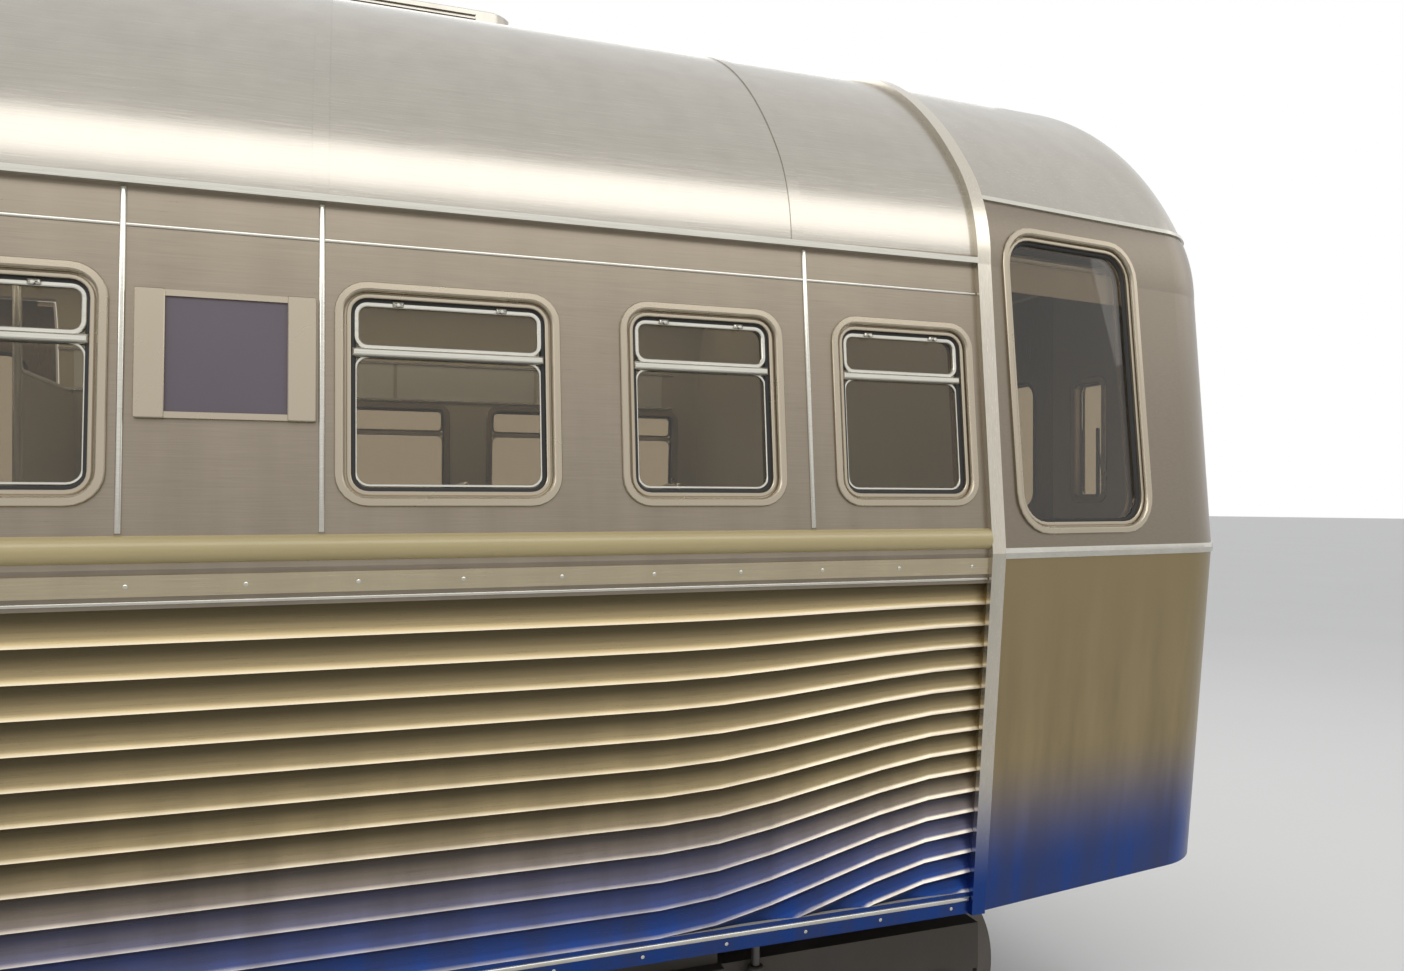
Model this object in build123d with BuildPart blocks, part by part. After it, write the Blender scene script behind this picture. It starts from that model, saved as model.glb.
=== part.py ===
from build123d import *
import math
import os

# A stainless elevated-railway metro car, in millimetres.
# X runs along the car towards its front end, Y to its left and Z up.
# The origin is midway along and across the car, level with the bottoms of the wheel flanges.

# Body outline, from the middle of the car outwards
body_half_length = 7140.0
straight_half_length = 6070.0
taper_angle = 8.0
end_radius = 300.0
sill_half_width = 1320.0
belt_half_width = 1422.0
eave_half_width = 1350.0
sill_height = 800.0
belt_height = 1862.0
eave_height = 2700.0
crown_height = 3660.0
wall = 60.0
# Share of the roof's rise that its side arcs take up
eave_share = 0.54
roof_rise = crown_height - eave_height
eave_radius = eave_share * roof_rise
bay_length = body_half_length - straight_half_length

# Fluting below the windows. Near each post the flutes sweep up and close in.
flute_top = 1777.0
flute_pitch = 76.0
flute_count = 12
flute_depth = 15.0
ridge_below_surface = 0.5
swept_count = 15
sweep_length = 950.0
sweep_steps = 6

# Mouldings on the outside
rail_bulge = 24.0
rail_low = belt_height + 13.0
rail_high = belt_height + 72.0
band_moulding = 7.0
band_low = belt_height - 58.0
band_high = belt_height - 12.0
post_moulding = 18.0
post_width = 45.0
gutter_moulding = 22.0
gutter_thickness = 16.0
hood_moulding = 30.0
hood_overhang = 60.0

# Passenger doorways and their folding leaves
door_x = 2450.0
door_width = 1300.0
door_top = 2900.0
door_gap = 8.0
door_meeting_gap = 34.0
door_recess = 8.0
leaf_thickness = 35.0
hinge_inset = 16.0
hinge_y = 1285.0
jamb_clearance = 6.0
leaf_notch = 60.0
pivot_radius = 10.0
pivot_arm = 25.0
leaf_window_margin = 120.0
leaf_window_low = 1950.0
leaf_window_high = 2660.0
leaf_window_corner = 70.0
roof_joint_height = door_top + 20.0

# Floor, ceiling and inner walls
floor_top = 1115.0
floor_thickness = 50.0
ceiling_share = 0.52
ceiling_height = eave_height + ceiling_share * roof_rise
ceiling_thickness = 20.0
screen_thickness = 25.0
screen_inner_y = 560.0
screen_top = 2500.0
screen_to_jamb = 30.0
pole_radius = 16.0
light_width = 130.0
light_depth = 40.0
light_y = 780.0
light_end_gap = 120.0
bulkhead_x = straight_half_length + 30.0
bulkhead_door_half_width = 340.0
bulkhead_door_top = 2890.0

# Side windows, in the sloping plane above the belt
window_low = 1996.0
window_high = 2521.0
window_corner = 74.0
frame_flange = 21.0
frame_proud = 9.0
frame_wall = 22.0
glass_thickness = 8.0
glass_setback = 22.0
fit = 0.3
# Columns: centre along X, width over the frame
side_windows = [
    (0.0, 525.0),
    (700.0, 525.0),
    (1400.0, 525.0),
    (3558.0, 525.0),
    (4539.0, 525.0),
    (5179.0, 449.0),
    (5775.0, 449.0),
]
transom_height = 2358.0
transom_depth = 23.0
sign_x_low = 3886.0
sign_x_high = 4222.0
sign_low = 2202.0
sign_high = 2457.0
sign_frame = 14.0
sign_thickness = 10.0

# The tall window in each tapered end bay
bay_window_x = straight_half_length + 0.322 * bay_length
bay_window_width = 0.536 * bay_length
bay_window_low = 1914.0
bay_window_high = 2834.0
bay_window_corner = 0.21 * bay_window_width

# End wall, its door and its windows
end_door_half_width = 380.0
end_door_top = 2900.0
end_leaf_thickness = 40.0
end_window_y = 592.0
end_window_width = 230.0
end_window_low = 1996.0
end_window_high = 2521.0
end_window_corner = 60.0
end_leaf_window_width = 480.0

# Driver's desk
desk_depth = 340.0
desk_inner_y = 470.0
desk_top = 1940.0

# Underframe
frame_bottom = 845.0
bearer_bottom = 900.0
bearer_length = 80.0
bearer_xs = [-3400.0, -2600.0, -1700.0, -900.0, 0.0, 700.0, 1600.0, 2600.0, 3400.0]
centre_sill_half_width = 180.0
side_sill_width = 120.0
side_sill_inner_y = sill_half_width - wall - side_sill_width
bolster_length = 420.0
bolster_half_width = 1200.0
end_sill_length = 180.0
bogie_x = 5131.0

# Closed equipment under the floor, hung from the cross bearers
equipment_chamfer = 40.0
# Columns: name, low and high x, low and high y, bottom
equipment = [
    ("battery_box", -2950.0, -1450.0, -1130.0, -560.0, 430.0),
    ("control_box", -1200.0, 900.0, -1130.0, -600.0, 400.0),
    ("resistor_box", 1300.0, 2900.0, -1130.0, -640.0, 450.0),
    ("converter_box", -2900.0, -700.0, 560.0, 1130.0, 420.0),
    ("compressor", -300.0, 950.0, 560.0, 1120.0, 440.0),
]
tank_radius = 170.0
tank_z = 700.0
tank_y = 860.0
tank_x = 1300.0
tank_length = 1700.0
tank_strap_length = 30.0
tank_strap_half_width = 90.0
tank_strap_xs = [1600.0, 2600.0]

# Wheels and bogies
wheel_radius = 355.5
flange_height = 27.0
axle_z = wheel_radius + flange_height
wheelbase = 1981.0
back_to_back = 1358.0
tyre_width = 127.0
axle_radius = 75.0
journal_radius = 60.0
journal_end = 1010.0
bogie_beam_y = 960.0
bogie_beam_width = 110.0
bogie_beam_low = 470.0
bogie_beam_high = 620.0
bogie_beam_overhang = 150.0
transom_x = 280.0
transom_length = 160.0
axlebox_radius = 130.0
centre_plate_radius = 210.0
king_pin_radius = 60.0
king_pin_length = 110.0
king_pin_end_gap = 5.0
bogie_bolster_half_length = 200.0
bogie_bolster_low = 640.0
bogie_bolster_high = 780.0
spring_radius = 220.0
motor_radius = 180.0
motor_transom_gap = 10.0
motor_half_length = 320.0
motor_drop = 60.0
motor_bracket_half_width = 150.0
motor_bracket_margin = 10.0

# Couplers, and the pockets they swing in
coupler_z = 640.0
coupler_pivot_x = body_half_length - 520.0
coupler_face_x = body_half_length + 175.0
coupler_eye_radius = 70.0
coupler_eye_height = 110.0
coupler_pin_radius = 30.0
drawbar_radius = 45.0
coupler_head_length = 200.0
coupler_head_width = 240.0
coupler_head_height = 290.0
coupler_corner = 40.0
coupler_face_share = 0.35
coupler_neck_share = 0.7
draft_plate = 20.0
draft_gap = 5.0
draft_half_width = 100.0
draft_back = 130.0
draft_front = 70.0
draft_web = 30.0

# Seats, each a cushion, a leaning back and a pedestal
seat_width = 880.0
seat_outer_y = 1286.0
seat_xs = [
    -5700.0, -5000.0, -4300.0, -3600.0, -1320.0, -660.0, 0.0, 660.0, 1320.0,
    3600.0, 4300.0, 5000.0, 5700.0,
]
seat_length = 440.0
seat_height = 430.0
seat_slope = 20.0
cushion_thickness = 75.0
seat_corner = 22.0
seat_back_height = 900.0
seat_back_thickness = 52.0
seat_back_lean = 100.0
pedestal_length = 220.0
pedestal_width = 350.0

# Anticlimbers, lamps and ventilators
climber_half_width = 620.0
climber_low = 950.0
climber_high = 1110.0
climber_depth = 60.0
climber_rib_depth = 100.0
climber_rib = 30.0
climber_rib_pitch = 65.0
climber_corner = 28.0
lamp_depth = 45.0
lamp_rim = 14.0
lens_setback = 20.0
lens_thickness = 20.0
# Columns: y, z, radius
lamps = [
    (600.0, 1420.0, 95.0),
    (-600.0, 1420.0, 95.0),
    (560.0, 2760.0, 55.0),
    (-560.0, 2760.0, 55.0),
]
vent_xs = [-4400.0, -1500.0, 1500.0, 4400.0]
vent_half_length = 450.0
vent_half_width = 330.0
vent_rise = 60.0
vent_sink = 80.0
vent_corner = 90.0

# Seen along the car, the fluted part of the side leans out from the sill to the belt,
# and the window band leans in from the belt to the eave.
lean = math.degrees(math.atan2(belt_half_width - eave_half_width, eave_height - belt_height))
taper = math.tan(math.radians(taper_angle))
fluted_half_length = straight_half_length - post_width
floor_underside = floor_top - floor_thickness
reach = 2 * body_half_length
far_side = 2 * belt_half_width


def outer_y(height):
    """Half width of the straight body at a height up to the eave."""
    if height <= belt_height:
        share = (height - sill_height) / (belt_height - sill_height)
        return sill_half_width + share * (belt_half_width - sill_half_width)
    share = (height - belt_height) / (eave_height - belt_height)
    return belt_half_width + share * (eave_half_width - belt_half_width)


def section(x, inset=0.0, narrowing=0.0):
    """Cross-section of the body at x, drawn inset from the outside and with narrower sides."""
    shift = inset + narrowing
    arc_y = eave_half_width - eave_radius - narrowing
    rise = crown_height - eave_height - eave_radius
    drop = (arc_y**2 - rise**2) / (2 * rise)
    turn = math.atan2(drop, arc_y)
    radius = eave_radius - inset
    sill = (sill_half_width - shift, sill_height)
    belt = (belt_half_width - shift, belt_height)
    eave = (eave_half_width - shift, eave_height)
    middle = (arc_y + radius * math.cos(turn / 2), eave_height + radius * math.sin(turn / 2))
    shoulder = (arc_y + radius * math.cos(turn), eave_height + radius * math.sin(turn))
    crown = (0.0, crown_height - inset)

    def across(point):
        return (-point[0], point[1])

    with BuildSketch(Plane.YZ.offset(x)) as outline:
        with BuildLine():
            Polyline(across(eave), across(belt), across(sill), sill, belt, eave)
            ThreePointArc(eave, middle, shoulder)
            ThreePointArc(shoulder, crown, across(shoulder))
            ThreePointArc(across(shoulder), across(middle), across(eave))
        make_face()
    return outline.sketch


def end_bay(inset=0.0):
    """The tapered front bay as a solid, rounded all round the rim of its end face."""
    length = body_half_length - inset
    narrowing = (length - straight_half_length) * taper
    with BuildPart() as bay:
        add(section(straight_half_length, inset))
        add(section(length, inset, narrowing))
        loft(ruled=True)
        end_face = bay.faces().sort_by(Axis.X)[-1]
        rim = [edge for edge in end_face.edges() if edge.center().Z > sill_height + 1.0]
        fillet(rim, end_radius - inset)
    return bay.part


def body_form(inset=0.0):
    """The whole body as a solid, inset from the outside, with both of its end bays."""
    bay = end_bay(inset)
    with BuildPart() as form:
        extrude(section(-straight_half_length, inset), amount=2 * straight_half_length, dir=(1, 0, 0))
        add(bay)
        add(mirror(bay, about=Plane.YZ, mode=Mode.PRIVATE))
    return form.part


def straight_band(outside, inside, x_low, x_high):
    """A shell that follows the straight body, from one inset to another."""
    with BuildPart() as band:
        extrude(section(x_low, outside), amount=x_high - x_low, dir=(1, 0, 0))
        extrude(section(x_low, inside), amount=x_high - x_low, dir=(1, 0, 0), mode=Mode.SUBTRACT)
    return band.part


def moulding(proud, x_low, x_high, z_low, z_high):
    """A strip that stands proud of both sides of the straight body."""
    band = straight_band(-proud, 0.0, x_low, x_high)
    with BuildPart() as strip:
        add(band)
        block((x_low, x_high), (-far_side, far_side), (z_low, z_high), mode=Mode.INTERSECT)
    return strip.part


def round_moulding(bulge, x_low, x_high, z_low, z_high):
    """A strip with a rounded face along both sides of the straight body."""
    middle = (z_low + z_high) / 2
    with BuildPart() as strip:
        with BuildSketch(Plane.YZ.offset(x_low)):
            with BuildLine():
                Line((outer_y(z_low), z_low), (outer_y(z_high), z_high))
                ThreePointArc(
                    (outer_y(z_high), z_high),
                    (outer_y(middle) + bulge, middle),
                    (outer_y(z_low), z_low),
                )
            make_face()
        extrude(amount=x_high - x_low)
        mirror(about=Plane.XZ)
    return strip.part


def flute_section(x, pitch, count):
    """Outline at x of the hollows to cut from the right side, with a sharp ridge between each two."""
    bottom = flute_top - count * pitch
    with BuildSketch(Plane.YZ.offset(x)) as hollows:
        with BuildLine():
            for row in range(count):
                high = flute_top - row * pitch
                low = high - pitch
                middle = (high + low) / 2
                ThreePointArc(
                    (ridge_below_surface - outer_y(high), high),
                    (flute_depth - outer_y(middle), middle),
                    (ridge_below_surface - outer_y(low), low),
                )
            Polyline(
                (ridge_below_surface - outer_y(bottom), bottom),
                (-flute_depth - outer_y(bottom), bottom),
                (-flute_depth - outer_y(flute_top), flute_top),
                (ridge_below_surface - outer_y(flute_top), flute_top),
            )
        make_face()
    return hollows.sketch


def block(x_ends, y_ends, z_ends, mode=Mode.ADD):
    """A box in the current part, from its low and high ends along each axis."""
    middle = [(ends[0] + ends[1]) / 2 for ends in (x_ends, y_ends, z_ends)]
    with Locations(tuple(middle)):
        Box(x_ends[1] - x_ends[0], y_ends[1] - y_ends[0], z_ends[1] - z_ends[0], mode=mode)


def window_plane(x, low, high, taper_turn=0.0):
    """Plane on the outside of the right wall, centred between two heights."""
    height = (low + high) / 2
    beyond = max(0.0, x - straight_half_length) * math.tan(math.radians(taper_turn))
    along = Vector(math.cos(math.radians(taper_turn)), math.sin(math.radians(taper_turn)), 0)
    up_slope = Vector(0, math.sin(math.radians(lean)), math.cos(math.radians(lean)))
    return Plane(
        origin=(x, -outer_y(height) + beyond, height),
        x_dir=along,
        z_dir=along.cross(up_slope),
    )


def slope_length(low, high):
    """Length up the sloping window band between two heights."""
    return (high - low) / math.cos(math.radians(lean))


def seat_rise(x, middle):
    """Height of the underside of the cushion that is centred on middle, at x."""
    share = (middle + seat_length / 2 - x) / seat_length
    return floor_top + seat_height - cushion_thickness - share * seat_slope


def both_ends(part):
    """A part with its copy turned half round about the middle of the car."""
    with BuildPart() as pair:
        add(part)
        add(part.rotate(Axis.Z, 180))
    return pair.part


def finish(builder, name):
    """Label a finished piece and write it."""
    builder.part.label = name
    export_step(builder.part, f"parts/{name}.step")


os.makedirs("parts", exist_ok=True)

outer_form = body_form()
inner_form = body_form(wall)
with BuildPart() as shell_builder:
    add(outer_form)
    add(inner_form, mode=Mode.SUBTRACT)
shell = shell_builder.part

# Every side window opening of the right side, and the tall openings in its end bays.
# Columns: x of the centre, width, low, high, corner radius, turn of the plane
frame_sizes = []
for centre, width in side_windows:
    for sign in ((1,) if centre == 0 else (1, -1)):
        frame_sizes.append((sign * centre, width, window_low, window_high, window_corner, 0.0))
bay_frame = (bay_window_x, bay_window_width, bay_window_low, bay_window_high,
             bay_window_corner, taper_angle)

# The fluting: straight along the middle of the side, and swept up over its last stretches
sweep_start = fluted_half_length - sweep_length
flute_bottom = flute_top - flute_count * flute_pitch
swept_pitch = flute_pitch * flute_count / swept_count
stations = []
for step in range(sweep_steps + 1):
    share = step / sweep_steps
    eased = share * share * (3 - 2 * share)
    pitch = flute_pitch + eased * (swept_pitch - flute_pitch)
    stations.append(flute_section(sweep_start + share * sweep_length, pitch, swept_count))
with BuildPart() as swept_flutes:
    loft(stations, ruled=True)
    block((0, reach), (-far_side, 0), (flute_bottom, flute_top), mode=Mode.INTERSECT)
    mirror(about=Plane.YZ)
with BuildPart() as straight_flutes:
    extrude(
        flute_section(-sweep_start, flute_pitch, flute_count),
        amount=2 * sweep_start,
        dir=(1, 0, 0),
    )

# Right side wall, between the end bays
with BuildPart() as side_right:
    add(shell)
    block(
        (-straight_half_length, straight_half_length),
        (-far_side, 0),
        (sill_height, roof_joint_height),
        mode=Mode.INTERSECT,
    )
    add(straight_flutes.part, mode=Mode.SUBTRACT)
    add(swept_flutes.part, mode=Mode.SUBTRACT)
    for x, width, low, high, corner, turn in frame_sizes:
        with BuildSketch(window_plane(x, low, high, turn)) as opening:
            RectangleRounded(
                width - 2 * frame_flange,
                slope_length(low, high) - 2 * frame_flange,
                corner - frame_flange,
            )
        extrude(amount=2 * wall, both=True, mode=Mode.SUBTRACT)
    for sign in (1, -1):
        middle = sign * door_x
        block(
            (middle - door_width / 2, middle + door_width / 2),
            (-far_side, 0),
            (floor_top, door_top),
            mode=Mode.SUBTRACT,
        )
finish(side_right, "side_right")

with BuildPart() as side_left:
    add(mirror(side_right.part, about=Plane.XZ))
finish(side_left, "side_left")

# End walls, with the tapered bays and their rounded corners
x, width, low, high, corner, turn = bay_frame
with BuildPart() as bay_openings:
    with BuildSketch(window_plane(x, low, high, turn)) as opening:
        RectangleRounded(
            width - 2 * frame_flange,
            slope_length(low, high) - 2 * frame_flange,
            corner - frame_flange,
        )
    extrude(amount=2 * wall, both=True)
    # The curve of the eave is cut flat where the frame lies on it.
    with BuildSketch(window_plane(x, low, high, turn)) as landing:
        RectangleRounded(width, slope_length(low, high), corner)
    extrude(amount=wall)
    mirror(about=Plane.XZ)
with BuildPart() as end_front:
    add(shell)
    block(
        (straight_half_length, reach),
        (-far_side, far_side),
        (sill_height, roof_joint_height),
        mode=Mode.INTERSECT,
    )
    add(bay_openings.part, mode=Mode.SUBTRACT)
    block(
        (body_half_length - 2 * wall, reach),
        (-end_door_half_width, end_door_half_width),
        (floor_top, end_door_top),
        mode=Mode.SUBTRACT,
    )
    with BuildSketch(Plane.YZ.offset(body_half_length)) as openings:
        with Locations(
            (end_window_y, (end_window_low + end_window_high) / 2),
            (-end_window_y, (end_window_low + end_window_high) / 2),
        ):
            RectangleRounded(
                end_window_width - 2 * frame_flange,
                end_window_high - end_window_low - 2 * frame_flange,
                end_window_corner - frame_flange,
            )
    extrude(amount=-2 * wall, mode=Mode.SUBTRACT)
finish(end_front, "end_front")

with BuildPart() as end_rear:
    add(end_front.part.rotate(Axis.Z, 180))
finish(end_rear, "end_rear")

# Roof, one shell over the whole length
with BuildPart() as roof:
    add(shell)
    block((-reach, reach), (-far_side, far_side), (roof_joint_height, 2 * crown_height),
          mode=Mode.INTERSECT)
finish(roof, "roof")


def ring_and_pane(plane, width, height, corner):
    """A window frame standing through the wall, and the pane that it holds."""
    with BuildPart() as ring:
        with BuildSketch(plane) as flange:
            RectangleRounded(width, height, corner)
        extrude(amount=frame_proud)
        with BuildSketch(plane) as sleeve:
            RectangleRounded(
                width - 2 * (frame_flange + fit),
                height - 2 * (frame_flange + fit),
                corner - frame_flange,
            )
        extrude(amount=-wall)
        with BuildSketch(plane.offset(frame_proud)) as clear:
            RectangleRounded(
                width - 2 * (frame_flange + frame_wall),
                height - 2 * (frame_flange + frame_wall),
                corner - frame_flange - frame_wall / 2,
            )
        extrude(amount=-(frame_proud + wall), mode=Mode.SUBTRACT)
    with BuildPart() as pane:
        with BuildSketch(plane.offset(-glass_setback)) as face:
            RectangleRounded(
                width - 2 * (frame_flange + frame_wall),
                height - 2 * (frame_flange + frame_wall),
                corner - frame_flange - frame_wall / 2,
            )
        extrude(amount=-glass_thickness)
    return ring.part, pane.part


# Window frames and panes of the right side, with a transom below each opening top light
frame_parts = []
pane_parts = []
for x, width, low, high, corner, turn in frame_sizes:
    plane = window_plane(x, low, high, turn)
    ring, pane = ring_and_pane(plane, width, slope_length(low, high), corner)
    rise = (transom_height - (low + high) / 2) / math.cos(math.radians(lean))
    with BuildPart() as framed:
        add(ring)
        with BuildSketch(plane) as bar:
            with Locations((0, rise)):
                Rectangle(width - 2 * frame_flange - frame_wall, transom_depth)
        extrude(amount=-(glass_setback + glass_thickness + fit))
    with BuildPart() as glazed:
        add(pane)
        add(framed.part, mode=Mode.SUBTRACT)
    frame_parts.append(framed.part)
    pane_parts.append(glazed.part)
x, width, low, high, corner, turn = bay_frame
bay_plane = window_plane(x, low, high, turn)
bay_ring, bay_pane = ring_and_pane(bay_plane, width, slope_length(low, high), corner)
with BuildPart() as bay_rings:
    add(bay_ring)
    mirror(about=Plane.YZ)
with BuildPart() as bay_panes:
    add(bay_pane)
    mirror(about=Plane.YZ)

end_ring, end_pane = ring_and_pane(
    Plane(
        origin=(body_half_length, end_window_y, (end_window_low + end_window_high) / 2),
        x_dir=(0, 1, 0),
        z_dir=(1, 0, 0),
    ),
    end_window_width,
    end_window_high - end_window_low,
    end_window_corner,
)
with BuildPart() as end_rings:
    add(end_ring)
    mirror(about=Plane.YZ)
with BuildPart() as end_panes:
    add(end_pane)
    mirror(about=Plane.YZ)

with BuildPart() as window_frames:
    add(frame_parts)
    add(bay_rings.part)
    add(end_rings.part)
    mirror(about=Plane.XZ)
finish(window_frames, "window_frames")
with BuildPart() as window_glass:
    add(pane_parts)
    add(bay_panes.part)
    add(end_panes.part)
    mirror(about=Plane.XZ)
finish(window_glass, "window_glass")

# Mouldings: the rail and the band below the windows, the posts and the gutters.
# The stretches between the doorways and beyond them
stretches = [
    (-fluted_half_length, -door_x - door_width / 2),
    (-door_x + door_width / 2, door_x - door_width / 2),
    (door_x + door_width / 2, fluted_half_length),
]
strips = []
drips = []
for low, high in stretches:
    strips.append(round_moulding(rail_bulge, low, high, rail_low, rail_high))
    strips.append(moulding(band_moulding, low, high, band_low, band_high))
    drips.append(moulding(gutter_moulding, low, high, eave_height, eave_height + gutter_thickness))
with BuildPart() as belt_rails:
    add(strips)
finish(belt_rails, "belt_rails")

# A hood over each doorway carries the gutter past it.
for sign in (1, -1):
    half_hood = door_width / 2 + hood_overhang
    drips.append(moulding(
        hood_moulding,
        sign * door_x - half_hood,
        sign * door_x + half_hood,
        roof_joint_height,
        roof_joint_height + gutter_thickness,
    ))
with BuildPart() as gutters:
    add(drips)
finish(gutters, "gutters")

# The posts close the ends of the fluting, and run on over the roof as hoops.
posts = []
for x_low in (fluted_half_length, -straight_half_length):
    posts.append(moulding(post_moulding, x_low, x_low + post_width, sill_height, 2 * crown_height))
with BuildPart() as corner_posts:
    add(posts)
finish(corner_posts, "corner_posts")

# Blank side signs, one between the first two windows beyond each doorway
sign_plane = window_plane((sign_x_low + sign_x_high) / 2, sign_low, sign_high)
with BuildPart() as side_signs:
    with BuildSketch(sign_plane) as panel:
        Rectangle(sign_x_high - sign_x_low + 2 * sign_frame,
                  slope_length(sign_low, sign_high) + 2 * sign_frame)
    extrude(amount=sign_thickness)
    with BuildSketch(sign_plane.offset(sign_thickness)) as sunk:
        Rectangle(sign_x_high - sign_x_low, slope_length(sign_low, sign_high))
    extrude(amount=-sign_thickness / 2, mode=Mode.SUBTRACT)
    mirror(about=Plane.XZ)
    mirror(about=Plane.YZ)
finish(side_signs, "side_signs")

# Floor and ceiling, cut to the inside of the walls
with BuildPart() as floor:
    add(inner_form)
    block((-reach, reach), (-far_side, far_side), (floor_underside, floor_top),
          mode=Mode.INTERSECT)
finish(floor, "floor")

with BuildPart() as ceiling:
    extrude(section(-straight_half_length, wall), amount=2 * straight_half_length, dir=(1, 0, 0))
    block((-reach, reach), (-far_side, far_side),
          (ceiling_height, ceiling_height + ceiling_thickness), mode=Mode.INTERSECT)
finish(ceiling, "ceiling")

with BuildPart() as ceiling_lights:
    for sign in (1, -1):
        block(
            (-straight_half_length + light_end_gap, straight_half_length - light_end_gap),
            (sign * light_y - light_width / 2, sign * light_y + light_width / 2),
            (ceiling_height - light_depth, ceiling_height),
        )
finish(ceiling_lights, "ceiling_lights")

# Screens beside the doorways, with a pole at the inner edge of each
screen_xs = []
for sign in (1, -1):
    for jamb in (-1, 1):
        offset = door_width / 2 + screen_to_jamb + screen_thickness / 2
        screen_xs.append(sign * door_x + jamb * offset)
with BuildPart() as screens:
    for x in screen_xs:
        for sign in (1, -1):
            y_ends = sorted((sign * screen_inner_y, sign * belt_half_width))
            block((x - screen_thickness / 2, x + screen_thickness / 2), y_ends,
                  (floor_top, screen_top))
    add(inner_form, mode=Mode.INTERSECT)
finish(screens, "screens")

with BuildPart() as poles:
    for x in screen_xs:
        for sign in (1, -1):
            with Locations((x, sign * (screen_inner_y - pole_radius), floor_top)):
                Cylinder(pole_radius, ceiling_height - floor_top,
                         align=(Align.CENTER, Align.CENTER, Align.MIN))
finish(poles, "poles")

# Bulkheads between the saloon and the end platforms, each with a central doorway
with BuildPart() as bulkheads:
    for sign in (1, -1):
        x_ends = sorted((sign * bulkhead_x, sign * (bulkhead_x + screen_thickness)))
        block(x_ends, (-far_side, far_side), (floor_top, ceiling_height))
    add(inner_form, mode=Mode.INTERSECT)
    block((-reach, reach), (-bulkhead_door_half_width, bulkhead_door_half_width),
          (floor_top, bulkhead_door_top), mode=Mode.SUBTRACT)
finish(bulkheads, "bulkheads")

# Driver's desks, at the right-hand corner of each end
with BuildPart() as desk:
    add(inner_form)
    block((body_half_length - wall - desk_depth, body_half_length - wall),
          (-belt_half_width, -desk_inner_y), (floor_top, desk_top), mode=Mode.INTERSECT)
with BuildPart() as cab_desks:
    add(both_ends(desk.part))
finish(cab_desks, "cab_desks")

# Seats, in rows across the car on both sides of the aisle
seat_inner_y = seat_outer_y - seat_width
seat_top = floor_top + seat_height
with BuildPart() as seat_cushions:
    for x in seat_xs:
        front = x + seat_length / 2
        back = x - seat_length / 2
        with BuildSketch(Plane.XZ.offset(seat_inner_y)) as profile:
            Polygon(
                (front, seat_top),
                (back, seat_top - seat_slope),
                (back, seat_top - seat_slope - cushion_thickness),
                (front, seat_top - cushion_thickness),
                align=None,
            )
            fillet(profile.vertices().group_by(Axis.X)[-1], seat_corner)
        extrude(amount=seat_width)
    mirror(about=Plane.XZ)
finish(seat_cushions, "seat_cushions")
with BuildPart() as seat_backs:
    for x in seat_xs:
        back = x - seat_length / 2
        low = seat_top - seat_slope - cushion_thickness
        high = floor_top + seat_back_height
        with BuildSketch(Plane.XZ.offset(seat_inner_y)) as profile:
            Polygon(
                (back, low),
                (back, low + cushion_thickness),
                (back - seat_back_lean, high),
                (back - seat_back_lean - seat_back_thickness, high),
                (back - seat_back_thickness, low),
                align=None,
            )
            fillet(profile.vertices().group_by(Axis.Y)[-1], seat_corner)
        extrude(amount=seat_width)
    mirror(about=Plane.XZ)
finish(seat_backs, "seat_backs")
with BuildPart() as seat_pedestals:
    middle = (seat_inner_y + seat_outer_y) / 2
    for x in seat_xs:
        with BuildSketch(Plane.XZ.offset(middle - pedestal_width / 2)) as profile:
            Polygon(
                (x - pedestal_length / 2, floor_top),
                (x + pedestal_length / 2, floor_top),
                (x + pedestal_length / 2, seat_rise(x + pedestal_length / 2, x)),
                (x - pedestal_length / 2, seat_rise(x - pedestal_length / 2, x)),
                align=None,
            )
        extrude(amount=pedestal_width)
    mirror(about=Plane.XZ)
finish(seat_pedestals, "seat_pedestals")

# Underframe: sills along the car, with members across between them and a bolster over each bogie
with BuildPart() as centre_sill:
    add(inner_form)
    block((-reach, reach), (-centre_sill_half_width, centre_sill_half_width),
          (frame_bottom, floor_underside), mode=Mode.INTERSECT)
finish(centre_sill, "centre_sill")

with BuildPart() as side_sills:
    for sign in (1, -1):
        y_ends = sorted((sign * side_sill_inner_y, sign * far_side))
        block((-reach, reach), y_ends, (frame_bottom, floor_underside))
    add(inner_form, mode=Mode.INTERSECT)
finish(side_sills, "side_sills")

# Columns: low x, high x, bottom
members = []
for x in bearer_xs:
    members.append((x - bearer_length / 2, x + bearer_length / 2, bearer_bottom))
for sign in (1, -1):
    x = sign * bogie_x
    members.append((x - bolster_length / 2, x + bolster_length / 2, frame_bottom))
    inner_x = body_half_length - wall - end_sill_length
    members.append((*sorted((sign * inner_x, sign * reach)), frame_bottom))
with BuildPart() as cross_members:
    for x_low, x_high, bottom in members:
        for sign in (1, -1):
            y_ends = sorted((sign * centre_sill_half_width, sign * side_sill_inner_y))
            block((x_low, x_high), y_ends, (bottom, floor_underside))
    add(inner_form, mode=Mode.INTERSECT)
finish(cross_members, "cross_members")

with BuildPart() as bolsters:
    for sign in (1, -1):
        x = sign * bogie_x
        block((x - bolster_length / 2, x + bolster_length / 2),
              (-bolster_half_width, bolster_half_width), (sill_height, frame_bottom))
        with Locations((x, 0, sill_height)):
            Cylinder(king_pin_radius, king_pin_length,
                     align=(Align.CENTER, Align.CENTER, Align.MAX))
finish(bolsters, "bolsters")

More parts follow.
